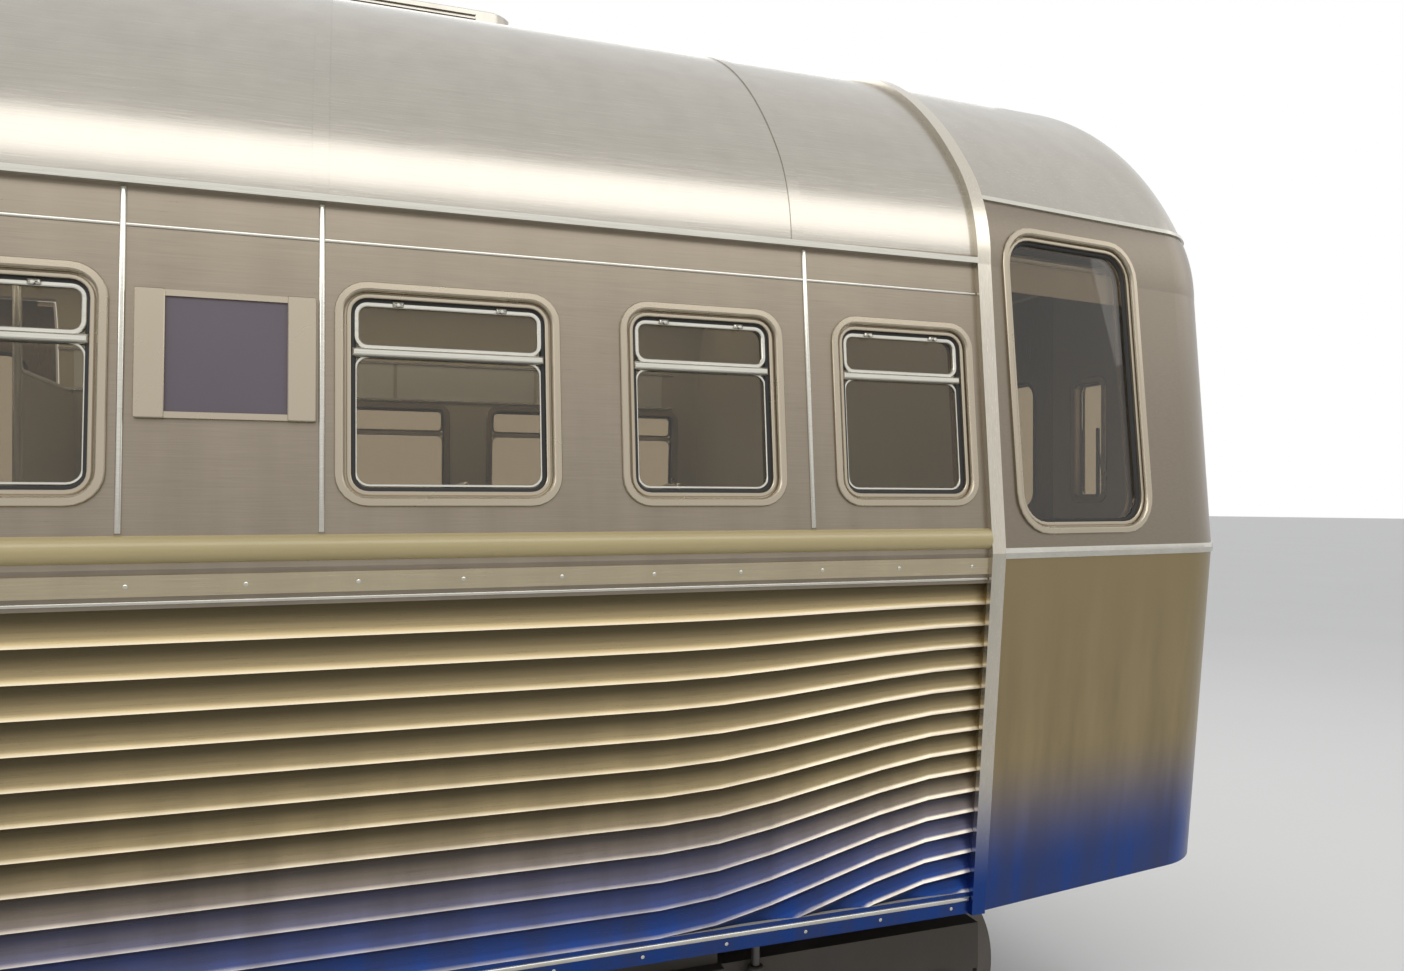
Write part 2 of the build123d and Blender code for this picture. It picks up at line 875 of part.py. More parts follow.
# Closed equipment under the floor
for name, x_low, x_high, y_low, y_high, bottom in equipment:
    with BuildPart() as box:
        block((x_low, x_high), (y_low, y_high), (bottom, bearer_bottom))
        chamfer(box.edges().filter_by(Axis.X).group_by(Axis.Z)[0], equipment_chamfer)
    finish(box, name)

with BuildPart() as air_tanks:
    with Locations(Plane.YZ.offset(tank_x)):
        with Locations((tank_y, tank_z)):
            Cylinder(tank_radius, tank_length, align=(Align.CENTER, Align.CENTER, Align.MIN))
    for x in tank_strap_xs:
        block((x - tank_strap_length / 2, x + tank_strap_length / 2),
              (tank_y - tank_strap_half_width, tank_y + tank_strap_half_width),
              (tank_z, bearer_bottom))
finish(air_tanks, "air_tanks")

# Anticlimber on each end, with three ribs that lock with the next car's
with BuildPart() as climber:
    y_ends = (-climber_half_width, climber_half_width)
    block((body_half_length, body_half_length + climber_depth), y_ends, (climber_low, climber_high))
    for row in range(3):
        low = climber_low + row * climber_rib_pitch
        block((body_half_length, body_half_length + climber_rib_depth), y_ends,
              (low, low + climber_rib))
    fillet(climber.edges().filter_by(Axis.Z).group_by(Axis.X)[-1], climber_corner)
with BuildPart() as anticlimbers:
    add(both_ends(climber.part))
finish(anticlimbers, "anticlimbers")

# Lamps on each end: a pair of headlamps and a pair of high marker lamps
with BuildPart() as lamp_set:
    for y, z, radius in lamps:
        with BuildSketch(Plane.YZ.offset(body_half_length)) as disc:
            with Locations((y, z)):
                Circle(radius)
        extrude(amount=lamp_depth)
        with BuildSketch(Plane.YZ.offset(body_half_length + lamp_depth)) as hollow:
            with Locations((y, z)):
                Circle(radius - lamp_rim)
        extrude(amount=lens_setback - lamp_depth, mode=Mode.SUBTRACT)
with BuildPart() as lamp_housings:
    add(both_ends(lamp_set.part))
finish(lamp_housings, "lamp_housings")
with BuildPart() as lens_set:
    for y, z, radius in lamps:
        with BuildSketch(Plane.YZ.offset(body_half_length + lens_setback)) as disc:
            with Locations((y, z)):
                Circle(radius - lamp_rim - fit)
        extrude(amount=lens_thickness)
with BuildPart() as lamp_lenses:
    add(both_ends(lens_set.part))
finish(lamp_lenses, "lamp_lenses")

# Ventilators on the roof
with BuildPart() as roof_vents:
    for x in vent_xs:
        block((x - vent_half_length, x + vent_half_length), (-vent_half_width, vent_half_width),
              (crown_height - vent_sink, crown_height + vent_rise))
    fillet(roof_vents.edges().filter_by(Axis.Z), vent_corner)
    add(outer_form, mode=Mode.SUBTRACT)
finish(roof_vents, "roof_vents")

# Draft gear: the pocket and pin that each coupler swings on
with BuildPart() as draft:
    half_eye = coupler_eye_height / 2 + draft_gap
    back_x = coupler_pivot_x - draft_back
    y_ends = (-draft_half_width, draft_half_width)
    for low in (coupler_z - half_eye - draft_plate, coupler_z + half_eye):
        block((back_x, coupler_pivot_x + draft_front), y_ends, (low, low + draft_plate))
    block((back_x - draft_plate, back_x), y_ends,
          (coupler_z - half_eye - draft_plate, frame_bottom))
    for sign in (1, -1):
        web_ends = sorted((sign * (draft_half_width - draft_web), sign * draft_half_width))
        block((back_x, coupler_pivot_x + draft_front), web_ends,
              (coupler_z + half_eye, frame_bottom))
    with Locations((coupler_pivot_x, 0, coupler_z)):
        Cylinder(coupler_pin_radius, 2 * (half_eye + draft_plate))
with BuildPart() as draft_gears:
    add(both_ends(draft.part))
finish(draft_gears, "draft_gears")

# Coupler: an eye on the pin, a drawbar and a head with a flat face
with BuildPart() as coupler_front:
    with Locations((coupler_pivot_x, 0, coupler_z)):
        Cylinder(coupler_eye_radius, coupler_eye_height)
    with BuildSketch(Plane.YZ.offset(coupler_pivot_x)) as bar:
        with Locations((0, coupler_z)):
            Circle(drawbar_radius)
    extrude(amount=coupler_face_x - coupler_head_length - coupler_pivot_x)
    with BuildSketch(Plane.YZ.offset(coupler_face_x)) as head:
        with Locations((0, coupler_z)):
            RectangleRounded(coupler_head_width, coupler_head_height, coupler_corner)
    extrude(amount=-coupler_head_length * coupler_face_share)
    neck_x = coupler_face_x - coupler_head_length * coupler_face_share
    with BuildSketch(Plane.YZ.offset(neck_x)) as neck:
        with Locations((0, coupler_z)):
            RectangleRounded(
                coupler_head_width * coupler_neck_share,
                coupler_head_height * coupler_neck_share,
                coupler_corner * coupler_neck_share,
            )
    extrude(amount=-coupler_head_length * (1 - coupler_face_share))
    with Locations((coupler_pivot_x, 0, coupler_z)):
        Hole(coupler_pin_radius + fit)
finish(coupler_front, "coupler_front")
with BuildPart() as coupler_rear:
    add(coupler_front.part.rotate(Axis.Z, 180))
finish(coupler_rear, "coupler_rear")


def bogie_frame(x_centre):
    """An outside-framed bogie: side beams with axleboxes, transoms, bolster and springs."""
    with BuildPart() as frame:
        for sign in (1, -1):
            y_low = sign * bogie_beam_y - bogie_beam_width / 2
            y_ends = (y_low, y_low + bogie_beam_width)
            half_beam = wheelbase / 2 + bogie_beam_overhang
            block((x_centre - half_beam, x_centre + half_beam), y_ends,
                  (bogie_beam_low, bogie_beam_high))
            for end in (1, -1):
                x_axle = x_centre + end * wheelbase / 2
                with BuildSketch(Plane.XZ.offset(-y_ends[1])) as box:
                    with Locations((x_axle, axle_z)):
                        Circle(axlebox_radius)
                    with Locations((x_axle, (axle_z + bogie_beam_low) / 2)):
                        Rectangle(2 * axlebox_radius, bogie_beam_low - axle_z)
                extrude(amount=bogie_beam_width)
            with Locations((x_centre, sign * bogie_beam_y, bogie_beam_high)):
                Cylinder(spring_radius, bogie_bolster_low - bogie_beam_high,
                         align=(Align.CENTER, Align.CENTER, Align.MIN))
        for end in (1, -1):
            block(
                (x_centre + end * transom_x - transom_length / 2,
                 x_centre + end * transom_x + transom_length / 2),
                (-bogie_beam_y, bogie_beam_y),
                (bogie_beam_low, bogie_beam_high),
            )
        block((x_centre - bogie_bolster_half_length, x_centre + bogie_bolster_half_length),
              (-bogie_beam_y - spring_radius / 2, bogie_beam_y + spring_radius / 2),
              (bogie_bolster_low, bogie_bolster_high))
        with Locations((x_centre, 0, bogie_bolster_high)):
            Cylinder(centre_plate_radius, sill_height - fit - bogie_bolster_high,
                     align=(Align.CENTER, Align.CENTER, Align.MIN))
        with Locations((x_centre, 0, sill_height)):
            Cylinder(king_pin_radius + fit, king_pin_length + king_pin_end_gap,
                     align=(Align.CENTER, Align.CENTER, Align.MAX), mode=Mode.SUBTRACT)
        for end in (1, -1):
            with BuildSketch(Plane.XZ.offset(-far_side)) as bores:
                with Locations((x_centre + end * wheelbase / 2, axle_z)):
                    Circle(journal_radius + fit)
            extrude(amount=2 * far_side, mode=Mode.SUBTRACT)
    return frame.part


def traction_motors(x_centre):
    """Two motors across the bogie, each bolted to the outside of a transom."""
    with BuildPart() as motors:
        for end in (1, -1):
            transom_face = x_centre + end * (transom_x + transom_length / 2)
            axis_x = transom_face + end * (motor_radius + motor_transom_gap)
            with BuildSketch(Plane.XZ.offset(-motor_half_length)) as case:
                with Locations((axis_x, (bogie_beam_low + bogie_beam_high) / 2 - motor_drop)):
                    Circle(motor_radius)
            extrude(amount=2 * motor_half_length)
            x_ends = sorted((transom_face, axis_x))
            block(x_ends, (-motor_bracket_half_width, motor_bracket_half_width),
                  (bogie_beam_low + motor_bracket_margin, bogie_beam_high - motor_bracket_margin))
    return motors.part


def wheelset(x_axle):
    """An axle with its two wheels, turned in one piece about its own axis."""
    back = back_to_back / 2
    rim_inner = wheel_radius - 62.0
    with BuildPart() as turned:
        with BuildSketch(Plane.XY) as profile:
            with BuildLine():
                Polyline(
                    (0, 0),
                    (axle_radius, 0),
                    (axle_radius, back - 30.0),
                    (axle_radius + 55.0, back - 14.0),
                    (axle_radius + 55.0, back + 42.0),
                    (rim_inner - 15.0, back + 42.0),
                    (rim_inner, back),
                    (wheel_radius + flange_height - 14.0, back),
                    (wheel_radius + flange_height, back + 10.0),
                    (wheel_radius + flange_height, back + 18.0),
                    (wheel_radius + 8.0, back + 30.0),
                    (wheel_radius, back + 42.0),
                    (wheel_radius - 4.0, back + tyre_width),
                    (rim_inner, back + tyre_width),
                    (rim_inner - 15.0, back + 70.0),
                    (axle_radius + 55.0, back + 78.0),
                    (axle_radius + 55.0, back + tyre_width + 12.0),
                    (journal_radius, back + tyre_width + 22.0),
                    (journal_radius, journal_end),
                    (0, journal_end),
                    (0, 0),
                )
            make_face()
        revolve(axis=Axis.Y)
        mirror(about=Plane.XZ)
    return turned.part.moved(Location((x_axle, 0, axle_z)))


for end_name, sign in (("front", 1), ("rear", -1)):
    with BuildPart() as frame:
        add(bogie_frame(sign * bogie_x))
    finish(frame, f"bogie_frame_{end_name}")
    with BuildPart() as motors:
        add(traction_motors(sign * bogie_x))
    finish(motors, f"traction_motors_{end_name}")
    for place, end in (("outer", 1), ("inner", -1)):
        with BuildPart() as wheels:
            add(wheelset(sign * (bogie_x + end * wheelbase / 2)))
        finish(wheels, f"wheelset_{end_name}_{place}")


def door_leaf(hinge_x, free_x):
    """A right-hand door leaf that follows the body's lean, with its foot pivot and its pane."""
    x_low, x_high = sorted((hinge_x, free_x))
    leaf_bottom = floor_top + door_gap
    leaf_inner_y = outer_y(leaf_bottom) - door_recess - leaf_thickness
    arm_end = hinge_x + math.copysign(pivot_arm, free_x - hinge_x)
    with BuildPart() as leaf:
        add(straight_band(door_recess, door_recess + leaf_thickness, x_low, x_high))
        block((x_low, x_high), (-far_side, 0), (leaf_bottom, door_top - door_gap),
              mode=Mode.INTERSECT)
        # Above the eave the leaf curves in, so its corner by the hinge is cut back from the jamb.
        notch_end = hinge_x + math.copysign(leaf_notch, free_x - hinge_x)
        block(sorted((hinge_x, notch_end)), (-hinge_y + hinge_inset - jamb_clearance, 0),
              (eave_height, door_top), mode=Mode.SUBTRACT)
        block(sorted((hinge_x, arm_end)), (-leaf_inner_y - pivot_radius, -hinge_y + pivot_radius),
              (leaf_bottom, leaf_bottom + pivot_arm))
        with Locations((hinge_x, -hinge_y, floor_top + fit)):
            Cylinder(pivot_radius, door_gap + pivot_arm - fit,
                     align=(Align.CENTER, Align.CENTER, Align.MIN))
        plane = window_plane((x_low + x_high) / 2, leaf_window_low, leaf_window_high)
        width = x_high - x_low - 2 * leaf_window_margin
        height = slope_length(leaf_window_low, leaf_window_high)
        with BuildSketch(plane) as opening:
            RectangleRounded(width, height, leaf_window_corner)
        extrude(amount=2 * wall, both=True, mode=Mode.SUBTRACT)
        with BuildSketch(plane.offset(-door_recess - leaf_thickness / 2)) as pane:
            RectangleRounded(width - 2 * fit, height - 2 * fit, leaf_window_corner - fit)
        extrude(amount=glass_thickness / 2, both=True)
    return leaf.part


leaf_width = door_width / 2 - hinge_inset - door_meeting_gap / 2
for place, sign in (("front", 1), ("rear", -1)):
    for leaf_name, leaf_sign in (("fore", 1), ("aft", -1)):
        hinge_x = sign * door_x + leaf_sign * (door_width / 2 - hinge_inset)
        leaf_solid = door_leaf(hinge_x, hinge_x - leaf_sign * leaf_width)
        with BuildPart() as right_leaf:
            add(leaf_solid)
        finish(right_leaf, f"door_right_{place}_{leaf_name}")
        with BuildPart() as left_leaf:
            add(mirror(leaf_solid, about=Plane.XZ))
        finish(left_leaf, f"door_left_{place}_{leaf_name}")

# End door, a flat leaf with a window, hung on the left jamb
with BuildPart() as end_door_front:
    block(
        (body_half_length - door_recess - end_leaf_thickness, body_half_length - door_recess),
        (-end_door_half_width + door_gap, end_door_half_width - hinge_inset),
        (floor_top + door_gap, end_door_top - door_gap),
    )
    hinge_point = (
        body_half_length - door_recess - end_leaf_thickness,
        end_door_half_width - hinge_inset,
        floor_top + fit,
    )
    with Locations(hinge_point):
        Cylinder(pivot_radius, door_gap + pivot_arm - fit,
                 align=(Align.CENTER, Align.CENTER, Align.MIN))
    with BuildSketch(Plane.YZ.offset(body_half_length)) as opening:
        with Locations((0, (end_window_low + end_window_high) / 2)):
            RectangleRounded(
                end_leaf_window_width,
                end_window_high - end_window_low,
                end_window_corner,
            )
    extrude(amount=-2 * wall, mode=Mode.SUBTRACT)
    with BuildSketch(Plane.YZ.offset(body_half_length - door_recess - end_leaf_thickness / 2)) as pane:
        with Locations((0, (end_window_low + end_window_high) / 2)):
            RectangleRounded(
                end_leaf_window_width - 2 * fit,
                end_window_high - end_window_low - 2 * fit,
                end_window_corner - fit,
            )
    extrude(amount=glass_thickness / 2, both=True)
finish(end_door_front, "end_door_front")
with BuildPart() as end_door_rear:
    add(end_door_front.part.rotate(Axis.Z, 180))
finish(end_door_rear, "end_door_rear")
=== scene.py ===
import math

import bmesh
import bpy
from mathutils import Matrix, Vector


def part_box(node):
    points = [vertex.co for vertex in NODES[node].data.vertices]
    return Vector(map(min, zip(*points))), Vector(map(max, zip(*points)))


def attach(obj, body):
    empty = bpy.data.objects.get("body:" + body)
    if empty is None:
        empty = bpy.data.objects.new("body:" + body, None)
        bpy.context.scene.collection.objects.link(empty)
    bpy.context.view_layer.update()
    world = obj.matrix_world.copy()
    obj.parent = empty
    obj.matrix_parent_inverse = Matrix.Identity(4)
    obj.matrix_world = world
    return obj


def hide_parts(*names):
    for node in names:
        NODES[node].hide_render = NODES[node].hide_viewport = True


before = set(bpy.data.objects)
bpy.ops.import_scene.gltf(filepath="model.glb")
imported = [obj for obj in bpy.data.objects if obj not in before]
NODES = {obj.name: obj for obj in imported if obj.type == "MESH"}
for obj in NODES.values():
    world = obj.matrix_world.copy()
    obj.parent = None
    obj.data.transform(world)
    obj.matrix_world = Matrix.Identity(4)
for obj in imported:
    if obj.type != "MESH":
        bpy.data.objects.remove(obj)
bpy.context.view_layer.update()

bl_info = {
    "name": "Metro Car Dresser",
    "version": (1, 0, 0),
    "blender": (4, 5, 0),
    "location": "View3D > Sidebar > Metro Car",
    "description": "Dresses the packed frame of a stainless elevated-railway car",
    "category": "Object",
}

# The body's outline, in metres, as the frame has it
SILL_Z, BELT_Z, EAVE_Z = 0.800, 1.862, 2.700
SILL_Y, BELT_Y, EAVE_Y = 1.320, 1.422, 1.350
STRAIGHT_X, END_X = 6.070, 7.140
FLUTED_X = 6.025
TAPER = math.radians(8.0)
WALL = 0.060
FLUTE_TOP = 1.777
BAND_LOW, RAIL_TOP = 1.804, 1.934
GUTTER_TOP = 2.716
FLOOR_Z = 1.115
CEILING_Z = 3.179
# Stretches of each side between the doorways and beyond them
STRETCHES = ((-FLUTED_X, -3.100), (-1.800, 1.800), (3.100, FLUTED_X))

# Windows of each side. Columns: centre along the car, width
SIDE_WINDOWS = (
    (0.000, 0.525),
    (0.700, 0.525),
    (1.400, 0.525),
    (3.558, 0.525),
    (4.539, 0.525),
    (5.179, 0.449),
    (5.775, 0.449),
)
WINDOW_LOW, WINDOW_HIGH, WINDOW_CORNER = 1.996, 2.521, 0.074
WINDOW_MIDDLE = (WINDOW_LOW + WINDOW_HIGH) / 2
TRANSOM_Z = 2.358
BAY_X, BAY_WIDTH, BAY_LOW, BAY_HIGH, BAY_CORNER = 6.4145, 0.5735, 1.914, 2.834, 0.1204
END_WINDOW_Y, END_WINDOW_WIDTH, END_WINDOW_CORNER = 0.592, 0.230, 0.060
GLASS_FACE = -0.022
OPENING_INSET = 0.043

# Doorways and their leaves
DOOR_X, DOOR_HALF_WIDTH = 2.450, 0.650
LEAF_MIDDLE, LEAF_FREE_EDGE = 0.3255, 0.017
LEAF_FACE, LEAF_THICKNESS = -0.008, 0.035
LEAF_WINDOW_WIDTH, LEAF_WINDOW_CORNER = 0.377, 0.070
LEAF_WINDOW_LOW, LEAF_WINDOW_HIGH = 1.950, 2.660
END_LEAF_WINDOW_WIDTH = 0.480

# Vertices of one CAD node that lie closer than this are one
MERGE_DISTANCE = 0.00005

# Running gear
BOGIE_X, HALF_WHEELBASE, AXLE_Z, WHEEL_RADIUS = 5.131, 0.9905, 0.3825, 0.3555
BEAM_FACE = 1.015
ENDS = (("front", 1), ("rear", -1))
SIDES = (("left", 1), ("right", -1))


def colour_setting(name, description, default):
    """A colour in the panel."""
    return bpy.props.FloatVectorProperty(name=name, description=description, subtype="COLOR",
                                         size=3, min=0.0, max=1.0, default=default)


def length_setting(name, description, default):
    """A length in the panel, in metres."""
    return bpy.props.FloatProperty(name=name, description=description, unit="LENGTH",
                                   default=default)


class CarFinishSettings(bpy.types.PropertyGroup):
    """Colours of the car's finishes"""

    flute_colour: colour_setting(
        "Fluting", "Warm stainless steel of the fluted sides", (0.310, 0.242, 0.128))
    # Painted highlight: the bright lip stands for light caught on the upward-facing edge of each ridge
    lip_highlight_colour: colour_setting(
        "Flute lips", "Bright edge of each ridge between the flutes", (0.640, 0.570, 0.450))
    sheet_colour: colour_setting(
        "Smooth sheet", "Stainless steel of the window band and the ends", (0.300, 0.254, 0.196))
    roof_colour: colour_setting(
        "Roof", "Polished stainless steel of the roof", (0.460, 0.430, 0.375))
    # Painted reflection: the blue low on the body stands for blue-lit ground mirrored in the steel
    blue_reflection_colour: colour_setting(
        "Lower band", "Blue of the lowest part of the body", (0.014, 0.056, 0.250))
    blue_reflection_height: length_setting(
        "Lower band height", "Height where the blue of the lower body fades out", 1.250)
    blue_reflection_rise: length_setting(
        "Lower band rise", "How much higher the blue reaches at the car's ends", 0.040)
    cream_colour: colour_setting(
        "Belt rail", "Enamel of the rounded rail below the windows", (0.430, 0.350, 0.170))
    seat_colour: colour_setting("Seats", "Moulded shell of the seats", (0.060, 0.110, 0.200))


class CarTrimSettings(bpy.types.PropertyGroup):
    """Sizes of the car's added trim"""

    moulding_width: length_setting(
        "Moulding width", "Width of the half-round strips on the sides", 0.014)
    screw_pitch: length_setting(
        "Screw pitch", "Distance between the screws along the bands", 0.240)
    seam_pitch: length_setting(
        "Roof seam pitch", "Distance between the seams across the roof", 1.220)
    seam_width: length_setting(
        "Roof seam width", "Width of the lap at each roof seam", 0.036)
    lap_thickness: length_setting(
        "Roof lap thickness", "How far each lap stands above the roof", 0.003)
    edge_rubber: length_setting(
        "Door edge rubber", "How far the rubber reaches past a door leaf's edge", 0.007)


class CarStageSettings(bpy.types.PropertyGroup):
    """Camera and lights"""

    camera_place: bpy.props.FloatVectorProperty(
        name="Camera", description="Where the photograph was taken from",
        subtype="TRANSLATION", size=3, default=(4.306, -3.830, 2.000))
    camera_turn: bpy.props.FloatProperty(
        name="Turn", description="Turn of the view from square-on towards the front end",
        subtype="ANGLE", default=math.radians(19.5))
    lens: bpy.props.FloatProperty(
        name="Lens", description="Focal length on a 36 mm wide sensor", unit="CAMERA", default=25.64)
    horizon_shift: bpy.props.FloatProperty(
        name="Horizon shift", description="Share of the width by which eye level lies below the middle",
        default=0.0139)
    key_power: bpy.props.FloatProperty(
        name="Key light", description="Power of the long light above the near side",
        unit="POWER", default=360.0)
    sky_strength: bpy.props.FloatProperty(
        name="Sky", description="Strength of the soft light from all round", default=0.70)


def finish_settings():
    return bpy.context.scene.car_finish


def trim_settings():
    return bpy.context.scene.car_trim


def stage_settings():
    return bpy.context.scene.car_stage


# Shader node groups shared by several finishes

def shader_node(tree, kind, **values):
    """A node in a tree, with its plain properties set."""
    node = tree.nodes.new("ShaderNode" + kind)
    for key, value in values.items():
        setattr(node, key, value)
    return node


def node_group(name, inputs, outputs, nodes, wires):
    """A shader group, made once.

    Rows of inputs: label, kind, default. Rows of outputs: label, kind.
    Rows of nodes: label, kind, values on its sockets, plain properties.
    Each wire runs from "node.socket" to "node.socket"; in and out are the group's own ends.
    """
    if name in bpy.data.node_groups:
        return bpy.data.node_groups[name]
    group = bpy.data.node_groups.new(name, "ShaderNodeTree")
    for label, kind, default in inputs:
        socket = group.interface.new_socket(label, in_out="INPUT", socket_type="NodeSocket" + kind)
        socket.default_value = default
    for label, kind in outputs:
        group.interface.new_socket(label, in_out="OUTPUT", socket_type="NodeSocket" + kind)
    made = {"in": group.nodes.new("NodeGroupInput"), "out": group.nodes.new("NodeGroupOutput")}
    for label, kind, values, properties in nodes:
        made[label] = shader_node(group, kind, **properties)
        for socket, value in values.items():
            made[label].inputs[socket].default_value = value
    for wire in wires:
        source, target = (end.split(".") for end in wire.split(" > "))
        inlet = int(target[1]) if target[1].isdigit() else target[1]
        group.links.new(made[source[0]].outputs[source[1]], made[target[0]].inputs[inlet])
    return group


SOFT = {"clamp": True, "interpolation_type": "SMOOTHSTEP"}


def grain_group():
    """Fine lines drawn out along one direction, as rolled and brushed sheet has."""
    return node_group(
        "brushed grain",
        (("Stretch", "Vector", (2.0, 90.0, 90.0)), ("Depth", "Float", 0.08)),
        (("Grain", "Float"), ("Normal", "Vector")),
        (("place", "TexCoord", {}, {}),
         ("mapping", "Mapping", {}, {}),
         ("noise", "TexNoise", {"Scale": 4.0, "Detail": 4.0, "Roughness": 0.65}, {}),
         ("bump", "Bump", {"Distance": 0.002}, {})),
        ("place.Object > mapping.Vector", "in.Stretch > mapping.Scale",
         "mapping.Vector > noise.Vector", "noise.Fac > bump.Height", "in.Depth > bump.Strength",
         "noise.Fac > out.Grain", "bump.Normal > out.Normal"),
    )


def film_and_shade_group():
    """Road film that gathers between two heights and runs down in faint streaks; low on the fluting and
    the ends it also stands for painted shade.
    """
    return node_group(
        "road film",
        (("Clean height", "Float", 3.0), ("Dirty height", "Float", 0.6), ("Amount", "Float", 0.6)),
        (("Mask", "Float"),),
        (("place", "TexCoord", {}, {}),
         ("split", "SeparateXYZ", {}, {}),
         ("fade", "MapRange", {}, {"clamp": True}),
         ("mapping", "Mapping", {"Scale": (7.0, 7.0, 0.8)}, {}),
         ("streaks", "TexNoise", {"Scale": 1.6, "Detail": 6.0}, {}),
         ("contrast", "MapRange", {"From Min": 0.35, "From Max": 0.75}, {"clamp": True}),
         ("weighted", "Math", {}, {"operation": "MULTIPLY"}),
         ("scaled", "Math", {}, {"operation": "MULTIPLY", "use_clamp": True})),
        ("place.Object > split.Vector", "split.Z > fade.Value", "in.Clean height > fade.From Min",
         "in.Dirty height > fade.From Max", "place.Object > mapping.Vector",
         "mapping.Vector > streaks.Vector", "streaks.Fac > contrast.Value",
         "fade.Result > weighted.0", "contrast.Result > weighted.1", "weighted.Value > scaled.0",
         "in.Amount > scaled.1", "scaled.Value > out.Mask"),
    )


def facing_light_group():
    """A mask by how far a surface faces up or down: painted shade on faces that look down, painted
    highlight on faces that look up.
    """
    return node_group(
        "sheltered faces",
        (("Rinsed", "Float", 0.15), ("Sheltered", "Float", -0.45), ("Amount", "Float", 0.6)),
        (("Mask", "Float"),),
        (("place", "TexCoord", {}, {}),
         ("split", "SeparateXYZ", {}, {}),
         ("fade", "MapRange", {}, SOFT),
         ("scaled", "Math", {}, {"operation": "MULTIPLY"})),
        ("place.Normal > split.Vector", "split.Z > fade.Value", "in.Rinsed > fade.From Min",
         "in.Sheltered > fade.From Max", "fade.Result > scaled.0", "in.Amount > scaled.1",
         "scaled.Value > out.Mask"),
    )


def band_group():
    """A mask that fades in softly below a height, which rises towards the car's ends."""
    return node_group(
        "lower band",
        (("Full below", "Float", 0.85), ("Gone above", "Float", 1.16), ("Rise", "Float", 0.2)),
        (("Mask", "Float"),),
        (("place", "TexCoord", {}, {}),
         ("split", "SeparateXYZ", {}, {}),
         ("outward", "Math", {}, {"operation": "ABSOLUTE"}),
         ("climb", "MapRange", {"From Min": 4.4, "From Max": 6.5}, SOFT),
         ("lifted", "Math", {}, {"operation": "SUBTRACT"}),
         ("fade", "MapRange", {}, SOFT)),
        ("place.Object > split.Vector", "split.X > outward.0", "outward.Value > climb.Value",
         "in.Rise > climb.To Max", "split.Z > lifted.0", "climb.Result > lifted.1",
         "lifted.Value > fade.Value", "in.Gone above > fade.From Min",
         "in.Full below > fade.From Max", "fade.Result > out.Mask"),
    )


def speckle_group():
    """Uneven patches and fine pores, as castings, enamel and moulded parts have."""
    return node_group(
        "uneven surface",
        (("Patch scale", "Float", 4.0), ("Pore scale", "Float", 180.0), ("Depth", "Float", 0.2)),
        (("Patches", "Float"), ("Normal", "Vector")),
        (("place", "TexCoord", {}, {}),
         ("patches", "TexNoise", {"Detail": 5.0}, {}),
         ("pores", "TexNoise", {"Detail": 2.0}, {}),
         ("bump", "Bump", {"Distance": 0.002}, {})),
        ("place.Object > patches.Vector", "place.Object > pores.Vector",
         "in.Patch scale > patches.Scale", "in.Pore scale > pores.Scale",
         "pores.Fac > bump.Height", "in.Depth > bump.Strength", "patches.Fac > out.Patches",
         "bump.Normal > out.Normal"),
    )


def place_group(tree, group, **values):
    """A group in a material, with its own values on its sockets."""
    node = tree.nodes.new("ShaderNodeGroup")
    node.node_tree = group
    for key, value in values.items():
        node.inputs[key.replace("_", " ")].default_value = value
    return node


def blend_colour(tree, mask, below, above):
    """A colour that goes from one to another by a mask. Each may be a colour or a socket."""
    mix = shader_node(tree, "Mix", data_type="RGBA")
    tree.links.new(mask, mix.inputs["Factor"])
    for socket, value in ((mix.inputs[6], below), (mix.inputs[7], above)):
        if isinstance(value, bpy.types.NodeSocket):
            tree.links.new(value, socket)
        else:
            socket.default_value = (*value[:3], 1.0)
    return mix.outputs[2]


def blank_material(name):
    """A new material with its Principled shader."""
    material = bpy.data.materials.new(name)
    material.use_nodes = True
    return material, material.node_tree, material.node_tree.nodes["Principled BSDF"]


def shade_of(colour, share):
    """A colour made darker or lighter by a share."""
    return tuple(channel * share for channel in colour)


# Colour of the road film; low on the fluting and the ends it also serves as painted shade
FILM_AND_SHADE_COLOUR = (0.060, 0.048, 0.034)
# How far the painted blue reflection low on the body takes to fade in
BLUE_REFLECTION_FADE = 0.410
# Half the height over which the ends change colour at the belt
BELT_EDGE = 0.001
# How far upward a ridge's edge faces where the painted highlight on its lip begins and is full
LIP_HIGHLIGHT_FACING = (0.42, 0.60)
LIP_HIGHLIGHT_AMOUNT = 0.85
# Shares of a sheet's colour in the dark and bright lines of its grain, and in the painted shade under
# its ridges
GRAIN_DARK, GRAIN_BRIGHT, UNDER_RIDGE_SHADE = 0.80, 1.12, 0.22
ALONG, UPRIGHT = (2.0, 90.0, 90.0), (90.0, 90.0, 2.0)
# How far roughness varies below and above its middle
SHEET_SPREAD, UNEVEN_SPREAD, GLASS_SPREAD = (0.06, 0.14), (0.10, 0.12), (0.0, 0.015)
SHEET_METALLIC = 0.85
# Heights between which road film gathers on the running gear
LOW_FILM = (1.2, 0.2)
# Patch scale, pore scale and depth of the nearly even surfaces
GLASS_SURFACE, DIFFUSER_SURFACE = (1.4, 20.0, 0.01), (2.0, 60.0, 0.02)
GLASS_SHADE, DIFFUSER_SHADE, DIFFUSER_ROUGHNESS = 0.9, 0.92, 0.4
GLASS_IOR = 1.45


